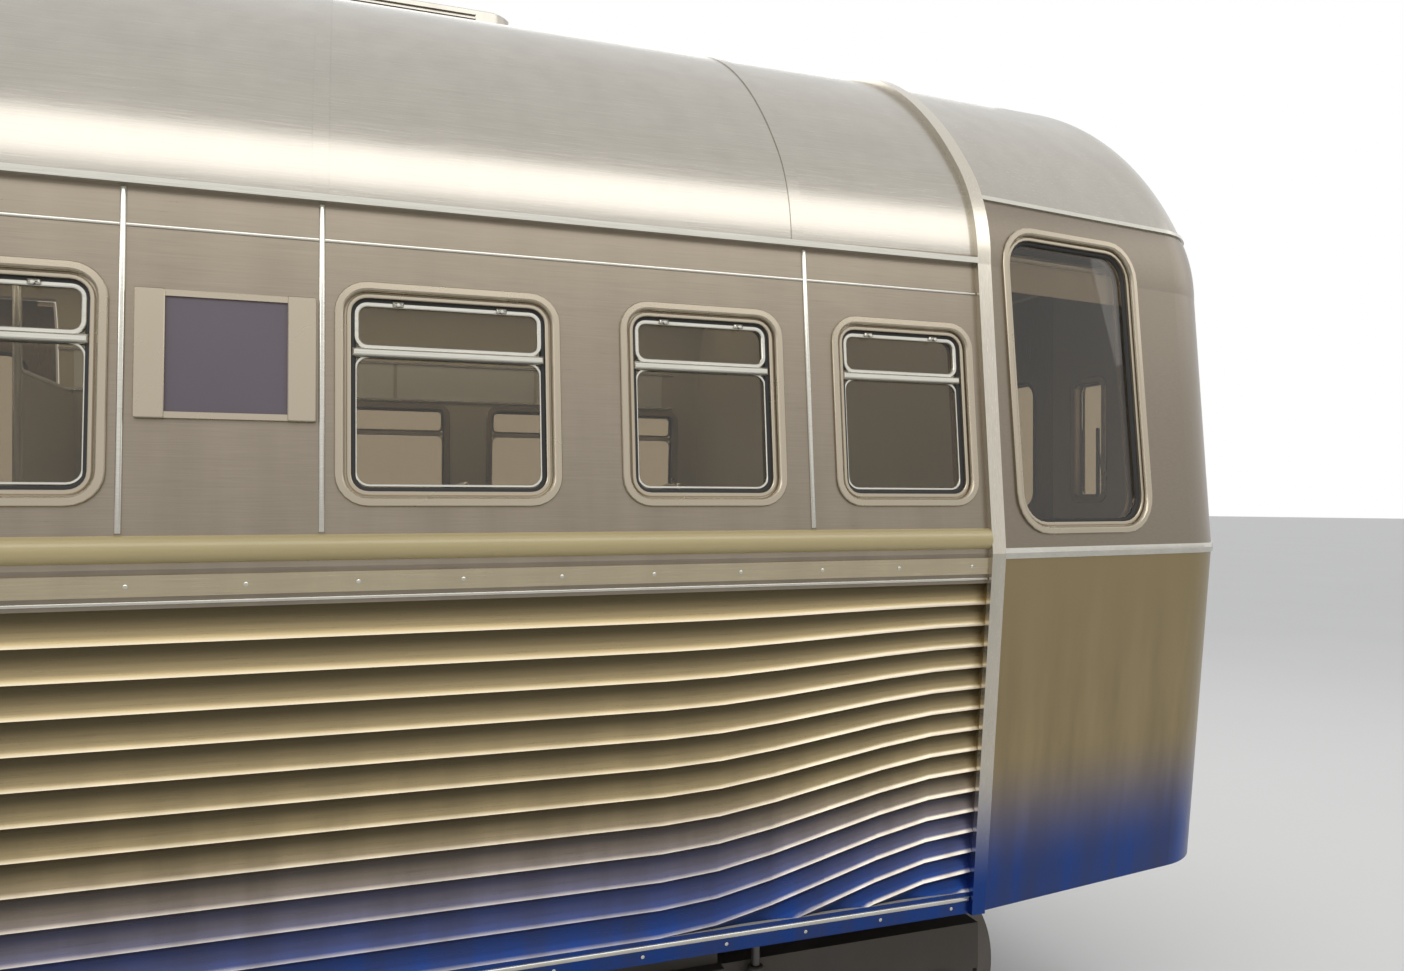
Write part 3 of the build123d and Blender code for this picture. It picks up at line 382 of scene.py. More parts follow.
def vary_roughness(tree, shader, mask, middle, spread):
    """Roughness that varies by a mask from below its middle to above it."""
    rough = shader_node(tree, "MapRange")
    rough.inputs["To Min"].default_value = middle - spread[0]
    rough.inputs["To Max"].default_value = middle + spread[1]
    tree.links.new(mask, rough.inputs["Value"])
    tree.links.new(rough.outputs["Result"], shader.inputs["Roughness"])


def under_film_and_shade(tree, tone, amount, heights):
    """A tone with road film on it, which gathers from the first height to the second; low on the fluting
    and the ends this darkening is partly painted shade.
    """
    film = place_group(tree, film_and_shade_group(), Clean_height=heights[0], Dirty_height=heights[1],
                       Amount=amount)
    return blend_colour(tree, film.outputs["Mask"], tone, FILM_AND_SHADE_COLOUR)


def uneven_tone(tree, patch, pore, depth, colour, other):
    """The uneven surface in a material, and the tone that varies with its patches."""
    surface = place_group(tree, speckle_group(), Patch_scale=patch, Pore_scale=pore, Depth=depth)
    return surface, blend_colour(tree, surface.outputs["Patches"], colour, other)


def sheet_metal(name, colour, roughness, stretch, depth, film=0.35, film_heights=(3.2, 0.7),
                blue_reflection=False, sheltered=0.0, lips=None, below_belt=None):
    """Stainless sheet with its grain, its road film and, low down, a painted blue reflection; where
    asked, painted shade under its ridges and painted highlight on their lips.
    """
    material, tree, shader = blank_material(name)
    grain = place_group(tree, grain_group(), Stretch=stretch, Depth=depth)
    tone = blend_colour(tree, grain.outputs["Grain"], shade_of(colour, GRAIN_DARK),
                        shade_of(colour, GRAIN_BRIGHT))
    if below_belt:
        lower = place_group(tree, band_group(), Full_below=BELT_Z - BELT_EDGE,
                            Gone_above=BELT_Z + BELT_EDGE, Rise=0.0)
        tone = blend_colour(tree, lower.outputs["Mask"], tone, below_belt)
    # Painted shade: faces that look down, under each ridge of the fluting, are darkened to a fraction of
    # the sheet's colour
    if sheltered:
        under = place_group(tree, facing_light_group(), Amount=sheltered)
        tone = blend_colour(tree, under.outputs["Mask"], tone, shade_of(colour, UNDER_RIDGE_SHADE))
    # Painted reflection of blue light from below, fading in towards the bottom of the body
    if blue_reflection:
        settings = finish_settings()
        band = place_group(tree, band_group(), Full_below=settings.blue_reflection_height - BLUE_REFLECTION_FADE,
                           Gone_above=settings.blue_reflection_height, Rise=settings.blue_reflection_rise)
        tone = blend_colour(tree, band.outputs["Mask"], tone, settings.blue_reflection_colour)
    # Painted highlight on the lips: faces of the ridges that look up get the bright lip colour
    if lips:
        worn = place_group(tree, facing_light_group(), Rinsed=LIP_HIGHLIGHT_FACING[0], Sheltered=LIP_HIGHLIGHT_FACING[1],
                           Amount=LIP_HIGHLIGHT_AMOUNT)
        tone = blend_colour(tree, worn.outputs["Mask"], tone, lips)
    tree.links.new(under_film_and_shade(tree, tone, film, film_heights), shader.inputs["Base Color"])
    vary_roughness(tree, shader, grain.outputs["Grain"], roughness, SHEET_SPREAD)
    shader.inputs["Metallic"].default_value = SHEET_METALLIC
    tree.links.new(grain.outputs["Normal"], shader.inputs["Normal"])
    return material


def uneven_finish(name, colour, other, roughness, patch, pore, depth, metallic=0.0, film=0.0,
                  coat=0.0):
    """Paint, casting, rubber or moulding whose colour and gloss vary in patches."""
    material, tree, shader = blank_material(name)
    surface, tone = uneven_tone(tree, patch, pore, depth, colour, other)
    if film:
        tone = under_film_and_shade(tree, tone, film, LOW_FILM)
    tree.links.new(tone, shader.inputs["Base Color"])
    vary_roughness(tree, shader, surface.outputs["Patches"], roughness, UNEVEN_SPREAD)
    tree.links.new(surface.outputs["Normal"], shader.inputs["Normal"])
    shader.inputs["Metallic"].default_value = metallic
    shader.inputs["Coat Weight"].default_value = coat
    return material


def clear_glass(name, tint):
    """Safety glass with a faint tint, and hardly any unevenness."""
    material, tree, shader = blank_material(name)
    surface, tone = uneven_tone(tree, *GLASS_SURFACE, tint, shade_of(tint, GLASS_SHADE))
    tree.links.new(tone, shader.inputs["Base Color"])
    vary_roughness(tree, shader, surface.outputs["Patches"], 0.0, GLASS_SPREAD)
    shader.inputs["Transmission Weight"].default_value = 1.0
    shader.inputs["IOR"].default_value = GLASS_IOR
    return material


def glowing(name, colour, strength):
    """A lit diffuser, a little uneven across its face."""
    material, tree, shader = blank_material(name)
    _, tone = uneven_tone(tree, *DIFFUSER_SURFACE, colour, shade_of(colour, DIFFUSER_SHADE))
    tree.links.new(tone, shader.inputs["Base Color"])
    tree.links.new(tone, shader.inputs["Emission Color"])
    shader.inputs["Emission Strength"].default_value = strength
    shader.inputs["Roughness"].default_value = DIFFUSER_ROUGHNESS
    return material


MATERIALS = {}


def material(name):
    """A finish by its name, made once by the finishes operator."""
    return MATERIALS[name]


def dress(node, *names):
    """Give a CAD node its better finish."""
    piece = NODES[node]
    piece.data.materials.clear()
    for name in names:
        piece.data.materials.append(material(name))


def dress_faces(node, name, wanted):
    """Give the faces of a CAD node that pass a test another finish."""
    piece = NODES[node]
    piece.data.materials.append(material(name))
    index = len(piece.data.materials) - 1
    for face in piece.data.polygons:
        if wanted(face):
            face.material_index = index


# How high above the belt the body's middle is taken to be, and how far inward a face must look
HEART_RISE, INWARD = 0.3, -0.05


def faces_inward(face):
    """True for a face of the body's shell that looks into the car."""
    middle = face.center
    heart = Vector((max(-STRAIGHT_X, min(STRAIGHT_X, middle.x)), 0.0, BELT_Z + HEART_RISE))
    return face.normal.dot(middle - heart) < INWARD


# Sheet finishes of one colour. Columns: finish, material, colour, roughness, grain, depth, film
SHEETS = (
    ("bright trim", "bright drawn trim", (0.640, 0.620, 0.550), 0.18, ALONG, 0.02, 0.15),
    ("belt trim", "belt band", (0.560, 0.480, 0.330), 0.20, ALONG, 0.02, 0.2),
    ("pole steel", "polished pole", (0.70, 0.70, 0.68), 0.16, UPRIGHT, 0.01, 0.0),
)
# Uneven finishes. Columns: finish, material, colour, other colour, roughness, patch scale,
# pore scale, depth, then what only some have
UNEVEN = (
    ("pressed trim", "pressed warm trim", (0.450, 0.392, 0.300), (0.410, 0.355, 0.270),
     0.26, 2.0, 300.0, 0.01, {"metallic": 0.85}),
    ("blank sign", "dark sign enamel", (0.090, 0.072, 0.088), (0.110, 0.090, 0.106),
     0.35, 3.0, 200.0, 0.05, {}),
    ("blank card", "blank card", (0.560, 0.550, 0.500), (0.500, 0.490, 0.440),
     0.55, 2.0, 300.0, 0.05, {}),
    ("pale blind", "pale blind", (0.860, 0.830, 0.780), (0.800, 0.770, 0.720),
     0.6, 2.0, 300.0, 0.05, {}),
    ("floor covering", "floor covering", (0.075, 0.070, 0.062), (0.130, 0.120, 0.105),
     0.6, 30.0, 400.0, 0.3, {}),
    ("liner", "liner enamel", (0.430, 0.390, 0.300), (0.380, 0.345, 0.265),
     0.42, 1.5, 300.0, 0.05, {}),
    ("underbody paint", "underbody paint", (0.022, 0.022, 0.024), (0.050, 0.046, 0.040),
     0.62, 3.0, 120.0, 0.3, {"film": 0.5}),
    ("cast steel", "cast steel", (0.050, 0.045, 0.040), (0.095, 0.080, 0.064),
     0.62, 6.0, 90.0, 0.5, {"metallic": 0.3, "film": 0.6}),
    ("spring steel", "spring steel", (0.075, 0.070, 0.066), (0.130, 0.120, 0.110),
     0.45, 20.0, 160.0, 0.2, {"metallic": 0.6, "film": 0.4}),
    ("wheel steel", "wheel steel", (0.110, 0.095, 0.080), (0.170, 0.150, 0.130),
     0.50, 9.0, 120.0, 0.35, {"metallic": 0.6, "film": 0.4}),
    ("bright tread", "worn tread", (0.420, 0.410, 0.390), (0.300, 0.290, 0.270),
     0.24, 14.0, 160.0, 0.1, {"metallic": 0.9}),
    ("rubber", "black rubber", (0.018, 0.018, 0.018), (0.030, 0.029, 0.028),
     0.68, 12.0, 260.0, 0.25, {}),
    ("lamp glass", "pressed lamp glass", (0.700, 0.690, 0.640), (0.520, 0.515, 0.480),
     0.16, 16.0, 60.0, 0.15, {"coat": 1.0}),
)


class CAR_OT_finishes(bpy.types.Operator):
    """Make every finish of the car"""

    bl_idname = "car.finishes"
    bl_label = "Finishes"

    def execute(self, context):
        settings = finish_settings()
        sheet, cream, seat = settings.sheet_colour, settings.cream_colour, settings.seat_colour
        # The fluting and the ends darken from about 1.8 m down to 0.8 m: partly road film, partly
        # painted shade of the lower body
        MATERIALS["fluting"] = sheet_metal(
            "fluted stainless", settings.flute_colour, 0.26, ALONG, 0.04, film=0.55,
            film_heights=(1.7, 0.8), blue_reflection=True, sheltered=0.80, lips=settings.lip_highlight_colour)
        MATERIALS["smooth sheet"] = sheet_metal(
            "smooth stainless", sheet, 0.28, ALONG, 0.03, blue_reflection=True)
        MATERIALS["end sheet"] = sheet_metal(
            "end stainless", shade_of(sheet, 0.78), 0.28, ALONG, 0.03, film=0.60,
            film_heights=(1.9, 0.8), blue_reflection=True, below_belt=settings.flute_colour)
        MATERIALS["roof sheet"] = sheet_metal(
            "roof stainless", settings.roof_colour, 0.20, ALONG, 0.03, film=0.25,
            film_heights=(2.6, 3.9))
        MATERIALS["upright steel"] = sheet_metal(
            "brushed upright stainless", sheet, 0.26, UPRIGHT, 0.015, blue_reflection=True)
        MATERIALS["post steel"] = sheet_metal(
            "bright post", (0.600, 0.555, 0.470), 0.20, UPRIGHT, 0.01, film=0.2, blue_reflection=True)
        MATERIALS["cream enamel"] = uneven_finish(
            "cream enamel", cream, shade_of(cream, 0.85), 0.34, 2.0, 220.0, 0.05, coat=0.4)
        MATERIALS["seat shell"] = uneven_finish(
            "seat shell", seat, shade_of(seat, 0.8), 0.42, 6.0, 350.0, 0.15)
        for finish, *values, film in SHEETS:
            MATERIALS[finish] = sheet_metal(*values, film=film)
        for finish, *values, more in UNEVEN:
            MATERIALS[finish] = uneven_finish(*values, **more)
        MATERIALS["window glass"] = clear_glass("window glass", (0.52, 0.46, 0.365))
        MATERIALS["light diffuser"] = glowing("light diffuser", (1.0, 0.95, 0.84), 6.5)
        return {"FINISHED"}


SIGN_RIM = 0.017
# Which CAD nodes get each finish, by whole names and then by how their names start
NODE_FINISHES = {
    "fluting": ("side_left", "side_right"),
    "end sheet": ("end_front", "end_rear"),
    "roof sheet": ("roof", "roof_vents"),
    "post steel": ("corner_posts",),
    "bright trim": ("gutters", "window_frames", "lamp_housings"),
    "cream enamel": ("belt_rails",),
    "window glass": ("window_glass",),
    "pressed trim": ("side_signs",),
    "floor covering": ("floor",),
    "liner": ("ceiling", "bulkheads", "screens", "cab_desks"),
    "light diffuser": ("ceiling_lights",),
    "pole steel": ("poles", "seat_pedestals"),
    "seat shell": ("seat_cushions", "seat_backs"),
    "lamp glass": ("lamp_lenses",),
}
STARTS = (
    ("door_", "upright steel"),
    ("end_door", "upright steel"),
    ("wheelset", "wheel steel"),
    ("bogie_frame", "cast steel"),
    ("coupler", "cast steel"),
    ("draft_gears", "cast steel"),
)


def finish_of(node):
    """The name of the finish of a CAD node."""
    for finish, nodes in NODE_FINISHES.items():
        if node in nodes:
            return finish
    for start, finish in STARTS:
        if node.startswith(start):
            return finish
    return "underbody paint"


class CAR_OT_frame_finishes(bpy.types.Operator):
    """Put the finishes on the frame's own pieces"""

    bl_idname = "car.frame_finishes"
    bl_label = "Frame finishes"

    def execute(self, context):
        for node in NODES:
            dress(node, finish_of(node))
        for side in ("side_left", "side_right"):
            dress_faces(side, "smooth sheet", lambda face: face.center.z > FLUTE_TOP)
            dress_faces(side, "roof sheet", lambda face: face.center.z > GUTTER_TOP)
            dress_faces(side, "liner", faces_inward)
        for end in ("end_front", "end_rear"):
            dress_faces(end, "liner", faces_inward)
        dress_faces("roof", "liner", faces_inward)
        dress_faces("belt_rails", "belt trim", lambda face: face.center.z < BELT_Z)
        low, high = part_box("side_signs")
        middle, half = (low.z + high.z) / 2, (high.z - low.z) / 2 - SIGN_RIM
        dress_faces("side_signs", "blank sign", lambda face: abs(face.center.z - middle) < half)
        for node in NODES:
            if node.startswith("door_") or node.startswith("end_door"):
                dress_panes(node)
            if node.startswith("wheelset"):
                dress_faces(node, "bright tread", on_tread)
        return {"FINISHED"}


# The band of a wheel that runs on the rail: from and to across the car, and how deep
TREAD_FROM, TREAD_TO, TREAD_DEPTH, TREAD_LEAN = 0.722, 0.806, 0.012, 0.3


def on_tread(face):
    """True for the band of a wheel that runs on the rail."""
    middle = face.center
    return (TREAD_FROM < abs(middle.y) < TREAD_TO and abs(face.normal.y) < TREAD_LEAN
            and wheel_distance(middle) > WHEEL_RADIUS - TREAD_DEPTH)


def wheel_distance(place):
    """Distance of a place from the nearest wheelset's axis."""
    return min(
        math.hypot(place.x - end * (BOGIE_X + out * HALF_WHEELBASE), place.z - AXLE_Z)
        for end in (1, -1) for out in (1, -1)
    )


def loose_parts(shape):
    """The places of the vertices of each connected part of a shape."""
    parts, seen = [], set()
    for vert in shape.verts:
        if vert in seen:
            continue
        stack, part = [vert], []
        seen.add(vert)
        while stack:
            current = stack.pop()
            part.append(current.co.copy())
            others = {edge.other_vert(current) for edge in current.link_edges} - seen
            seen |= others
            stack.extend(others)
        parts.append(part)
    return parts


def rounded(place):
    """A place to a tenth of a millimetre, so that it can be looked up."""
    return tuple(round(length, 4) for length in place)


def dress_panes(node):
    """Give the pane of a door leaf its glass. The pane is the loose part inside the leaf."""
    piece = NODES[node]
    shape = bmesh.new()
    shape.from_mesh(piece.data)
    bmesh.ops.remove_doubles(shape, verts=shape.verts[:], dist=MERGE_DISTANCE)
    parts = loose_parts(shape)
    shape.free()
    pane = min(parts, key=lambda places: max(p.z for p in places) - min(p.z for p in places))
    corners = {rounded(place) for place in pane}
    piece.data.materials.append(material("window glass"))
    for face in piece.data.polygons:
        if all(rounded(piece.data.vertices[i].co) in corners for i in face.vertices):
            face.material_index = 1


# Places on the car, each as a matrix whose Z points out of the surface

def outer_y(z):
    """Half width of the straight body at a height up to the eave."""
    if z <= BELT_Z:
        return SILL_Y + (z - SILL_Z) / (BELT_Z - SILL_Z) * (BELT_Y - SILL_Y)
    return BELT_Y + (z - BELT_Z) / (EAVE_Z - BELT_Z) * (EAVE_Y - BELT_Y)


def lean_at(z):
    """How far the side leans inward at a height, as an angle."""
    if z <= BELT_Z:
        return -math.atan2(BELT_Y - SILL_Y, BELT_Z - SILL_Z)
    return math.atan2(BELT_Y - EAVE_Y, EAVE_Z - BELT_Z)


def slope_height(low, high):
    """Length up the side between two heights that are both above or both below the belt."""
    return (high - low) / math.cos(lean_at((low + high) / 2))


def face_frame(place, along, up):
    """Axes at a place: X along, Y as near to up as it can be, and Z out of the face."""
    along = Vector(along).normalized()
    out = along.cross(Vector(up)).normalized()
    axes = Matrix((along, out.cross(along), out)).transposed().to_4x4()
    return Matrix.Translation(place) @ axes


def wall_frame(x, z, side, stand=0.0):
    """Axes on the outside of a side wall at x and z, which may stand off it."""
    beyond = max(0.0, abs(x) - STRAIGHT_X)
    turn = math.copysign(TAPER, x) if beyond else 0.0
    lean = lean_at(z)
    frame_here = face_frame(
        (x, side * (outer_y(z) - beyond * math.tan(TAPER)), z),
        (-side * math.cos(turn), math.sin(turn), 0.0),
        (0.0, -side * math.sin(lean), math.cos(lean)),
    )
    return frame_here @ Matrix.Translation((0.0, 0.0, stand))


def end_frame(y, z, sign, stand=0.0):
    """Axes on an end wall. The rear end is the front one turned half round."""
    return face_frame((sign * (END_X + stand), sign * y, z), (0.0, sign, 0.0), (0.0, 0.0, 1.0))


def side_frame(x, y, z, side):
    """Axes on an upright face that looks out to one side."""
    return face_frame((x, side * y, z), (-side, 0.0, 0.0), (0.0, 0.0, 1.0))


def level_frame(x, y, z):
    """Axes on a level face that looks up."""
    return face_frame((x, y, z), (1.0, 0.0, 0.0), (0.0, 1.0, 0.0))


def moved(x, y, z):
    """A shift along each axis."""
    return Matrix.Translation((x, y, z))


FLIP = Matrix.Rotation(math.radians(180.0), 4, "Y")
HERE = Matrix.Identity(4)


def spaced(low, high, pitch):
    """Even places from low to high, no further apart than the pitch."""
    count = max(1, math.ceil((high - low) / pitch - 1e-6))
    return [low + (high - low) * step / count for step in range(count + 1)]


# Shapes that are made once and stamped wherever they are needed

def outline(width, height, corner, segments):
    """A flat face with rounded corners, centred on the origin and facing up."""
    shape = bmesh.new()
    corners = bmesh.ops.create_grid(shape, x_segments=1, y_segments=1, size=0.5)["verts"]
    bmesh.ops.scale(shape, vec=(width, height, 1.0), verts=corners)
    if corner:
        bmesh.ops.bevel(shape, geom=corners, offset=corner, segments=segments, profile=0.5,
                        affect="VERTICES", material=-1)
    return shape


def build_out(shape, steps):
    """Inset and raise a shape's one face by each step in turn."""
    face = shape.faces[:][0]
    for inset, rise in steps:
        bmesh.ops.inset_individual(shape, faces=[face], thickness=inset, depth=rise,
                                   use_even_offset=True)
    return face


def close_back(shape):
    """Close a built-out shape behind, so that it is a solid."""
    bmesh.ops.holes_fill(shape, edges=[e for e in shape.edges if e.is_boundary], sides=0)
    bmesh.ops.recalc_face_normals(shape, faces=shape.faces[:])
    return shape


def open_middle(shape, face):
    """Turn a built-out shape into a ring: its inner rim is bridged to its outer one."""
    bmesh.ops.delete(shape, geom=[face], context="FACES_ONLY")
    bmesh.ops.bridge_loops(shape, edges=[e for e in shape.edges if e.is_boundary])
    bmesh.ops.recalc_face_normals(shape, faces=shape.faces[:])
    return shape


def plate(width, height, corner, steps, segments=3):
    """A solid plate built out from a rounded outline. Rows of steps: inset, rise."""
    shape = outline(width, height, corner, segments)
    build_out(shape, steps)
    return close_back(shape)


def ring(width, height, corner, steps, segments=6, start=0.0):
    """A closed frame with a rounded outline. Rows of steps: inset, rise."""
    shape = outline(width, height, corner, segments)
    bmesh.ops.translate(shape, vec=(0.0, 0.0, start), verts=shape.verts[:])
    return open_middle(shape, build_out(shape, steps))


def disc(radius, steps, segments=24):
    """A round solid built out from a circle."""
    shape = bmesh.new()
    bmesh.ops.create_circle(shape, cap_ends=True, radius=radius, segments=segments)
    build_out(shape, steps)
    return close_back(shape)


def round_ring(radius, steps, segments=32):
    """A closed round frame built out from a circle."""
    shape = bmesh.new()
    bmesh.ops.create_circle(shape, cap_ends=True, radius=radius, segments=segments)
    return open_middle(shape, build_out(shape, steps))


def only_face(found):
    """The one face in what a bmesh operator gives back."""
    return next(item for item in found if isinstance(item, bmesh.types.BMFace))


def rail(length, stand, radius, bend=0.03, segments=12):
    """A bent rail along X that stands off a surface on its two feet."""
    shape = bmesh.new()
    bmesh.ops.create_circle(shape, cap_ends=True, radius=radius, segments=segments,
                            matrix=Matrix.Translation((-length / 2, 0.0, 0.0)))
    end = shape.faces[:][0]

    def run(end, offset):
        end = only_face(bmesh.ops.extrude_face_region(shape, geom=[end])["geom"])
        bmesh.ops.translate(shape, vec=offset, verts=end.verts[:])
        return end

    def turn(end, x):
        found = bmesh.ops.spin(shape, geom=[end, *end.edges, *end.verts], cent=(x, 0.0, stand - bend),
                               axis=(0.0, 1.0, 0.0), angle=math.radians(90.0), steps=5)
        if end.is_valid:
            bmesh.ops.delete(shape, geom=[end], context="FACES_ONLY")
        return only_face(found["geom_last"])

    end = run(end, (0.0, 0.0, stand - bend))
    end = turn(end, bend - length / 2)
    end = run(end, (length - 2 * bend, 0.0, 0.0))
    end = turn(end, length / 2 - bend)
    run(end, (0.0, 0.0, bend - stand))
    bmesh.ops.recalc_face_normals(shape, faces=shape.faces[:])
    return shape


# Share of a rod's radius that its ends are eased by
ROD_EASE = 0.15


def rod(start, end, radius, segments=12):
    """A straight rod from one place to another, with eased ends."""
    start, end = Vector(start), Vector(end)
    ease = ROD_EASE * radius
    length = (end - start).length
    shape = disc(radius - ease, ((-ease, ease), (0.0, length - 2 * ease), (ease, ease)), segments)
    turn = (end - start).to_track_quat("Z", "Y").to_matrix().to_4x4()
    bmesh.ops.transform(shape, matrix=Matrix.Translation(start) @ turn, verts=shape.verts[:])
    return shape


# Steps in each turn of a coil, and sides of its wire
COIL_STEPS, WIRE_SEGMENTS = 14, 12


def coil(radius, wire, height, turns):
    """A coil spring that stands on its end, made by a spin that climbs."""
    shape = bmesh.new()
    stand_up = Matrix.Rotation(math.radians(90.0), 4, "X")
    bmesh.ops.create_circle(shape, cap_ends=True, radius=wire, segments=WIRE_SEGMENTS,
                            matrix=Matrix.Translation((radius, 0.0, wire)) @ stand_up)
    steps = COIL_STEPS * turns
    bmesh.ops.spin(shape, geom=shape.verts[:] + shape.edges[:] + shape.faces[:], cent=(0, 0, 0),
                   axis=(0, 0, 1), angle=2 * math.pi * turns, steps=steps,
                   dvec=(0.0, 0.0, (height - 2 * wire) / steps))
    bmesh.ops.recalc_face_normals(shape, faces=shape.faces[:])
    return shape


def stamp(shape, template, place=HERE, finish=0):
    """Add a copy of a template to a shape at a place, with a finish by its number."""
    for face in template.faces:
        face.material_index = finish
    copy = bpy.data.meshes.new("stamp")
    template.to_mesh(copy)
    copy.transform(place)
    shape.from_mesh(copy)
    bpy.data.meshes.remove(copy)


def stamp_once(shape, template, place=HERE):
    """Stamp a template that is needed only once, and free it."""
    stamp(shape, template, place)
    template.free()


def new_object(name, shape):
    """An object at the origin from a bmesh, which it frees."""
    mesh = bpy.data.meshes.new(name)
    shape.to_mesh(mesh)
    shape.free()
    piece = bpy.data.objects.new(name, mesh)
    bpy.context.scene.collection.objects.link(piece)
    return piece


# Edges that turn by more than this stay sharp
SHARP_ANGLE = math.radians(31.0)


def finish_piece(name, shape, body, *finishes):
    """Make a shape a piece that rides on a body, smooth but for its sharp edges."""
    piece = new_object(name, shape)
    for finish in finishes:
        piece.data.materials.append(material(finish))
    piece.data.shade_smooth()
    piece.data.set_sharp_from_angle(angle=SHARP_ANGLE)
    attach(piece, body)
    return piece


# Where the roof sits on the sides, whose flat joint faces belong to no strip
ROOF_JOINT_Z = 2.920
# How far out a strip's face must look, and how close points and faces are taken as one
STRIP_OUTWARD, STRIP_MERGE, STRIP_FLATNESS = 0.25, 0.0005, math.radians(0.5)


def surface_strip(nodes, cuts, heart, thickness):
    """A strip of the shell's own outer surface between cuts, as a thin plate on top of it.

    Rows of cuts: a place on the plane, and the way its other side is cleared.
    """
    shape = bmesh.new()
    for node in nodes:
        shape.from_mesh(NODES[node].data)
    for place, toward in cuts:
        bmesh.ops.bisect_plane(shape, geom=shape.verts[:] + shape.edges[:] + shape.faces[:],
                               plane_co=place, plane_no=toward, clear_outer=True)
    for face in shape.faces[:]:
        middle = face.calc_center_median()
        in_joint = face.normal.z > 0.99 and middle.z < ROOF_JOINT_Z + 0.001
        if in_joint or face.normal.dot(middle - Vector(heart)) < STRIP_OUTWARD:
            shape.faces.remove(face)
    bmesh.ops.remove_doubles(shape, verts=shape.verts[:], dist=STRIP_MERGE)
    bmesh.ops.dissolve_limit(shape, angle_limit=STRIP_FLATNESS, verts=shape.verts[:],
                             edges=shape.edges[:])
    bmesh.ops.solidify(shape, geom=shape.faces[:], thickness=-thickness)
    bmesh.ops.recalc_face_normals(shape, faces=shape.faces[:])
    return shape


HALF_ROUND = ((0.0, 0.002), (0.001, 0.0022), (0.002, 0.0016), (0.002, 0.0006))
HALF_ROUND_WIDTH = 0.014
THIN_PLATE = ((0.0, 0.0015), (0.0012, 0.0010))
# Discs. Columns: radius, steps, segments
SCREW_HEAD = ((0.0, 0.0012), (0.0016, 0.0010))
SCREW = (0.0052, SCREW_HEAD, 8)
END_SCREW = (0.006, SCREW_HEAD, 8)
BOLT_HEAD = ((0.0, 0.007), (0.002, 0.0015))

# Windows
PRESSING = (
    (0.000, 0.0070), (0.002, 0.0025), (0.014, 0.0005), (0.003, -0.0020), (0.003, -0.0050),
    (0.000, -0.0120), (0.004, 0.0000), (0.000, 0.0060), (0.002, 0.0015), (0.006, 0.0000),
    (0.002, -0.0015), (0.000, -0.0580),
)
SEAL = ((0.0, 0.006), (0.003, 0.003), (0.006, 0.0), (0.003, -0.003), (0.001, -0.004))
INNER_TRIM = ((0.0, 0.004), (0.003, 0.003), (0.020, 0.0), (0.003, -0.003), (0.003, -0.003))
SASH = ((0.0, 0.008), (0.002, 0.002), (0.007, 0.0), (0.002, -0.002), (0.0, -0.008))
THIN_SASH = ((0.0, 0.004), (0.001, 0.001), (0.004, 0.0), (0.001, -0.001), (0.0, -0.004))
BAR = ((0.0, 0.018), (0.002, 0.004), (0.004, 0.003))
# How far the inner trim and the seal lie in from the opening's edge, and the bar reaches past it
INNER_TRIM_INSET, SEAL_INSET, BAR_LAP, BAR_HEIGHT = 0.013, 0.034, 0.006, 0.022
BAR_FACE = -0.008
UPPER_SASH_CORNER, LOWER_SASH_CORNER = 0.030, 0.034
# What the sashes leave free for the bar, and how much higher the upper one sits for it
UPPER_GAP, LOWER_GAP, UPPER_LIFT = 0.008, 0.010, 0.004
# A catch in the upper sash: width, height, corner, steps. Its knob: radius, steps, segments
CATCH = (0.026, 0.012, 0.003, ((0.0, 0.006), (0.002, 0.003), (0.003, 0.002)))
KNOB = (0.005, ((0.0, 0.010), (0.0015, 0.0015)), 10)
CATCH_SPREAD, CATCH_DROP, CATCH_STAND, KNOB_STAND = 0.23, 0.004, 0.009, 0.008


def window_rows():
    """Every window: its place, width, height, corner and whether its top light opens."""
    height = slope_height(WINDOW_LOW, WINDOW_HIGH)
    rows = []
    for _, side in SIDES:
        for centre, width in SIDE_WINDOWS:
            for x in ((centre,) if centre == 0.0 else (centre, -centre)):
                place = wall_frame(x, WINDOW_MIDDLE, side)
                rows.append((place, width, height, WINDOW_CORNER, True))
        for x in (BAY_X, -BAY_X):
            place = wall_frame(x, (BAY_LOW + BAY_HIGH) / 2, side)
            rows.append((place, BAY_WIDTH, slope_height(BAY_LOW, BAY_HIGH), BAY_CORNER, False))
        for _, sign in ENDS:
            place = end_frame(side * END_WINDOW_Y, WINDOW_MIDDLE, sign)
            rows.append((place, END_WINDOW_WIDTH, WINDOW_HIGH - WINDOW_LOW, END_WINDOW_CORNER, False))
    return rows


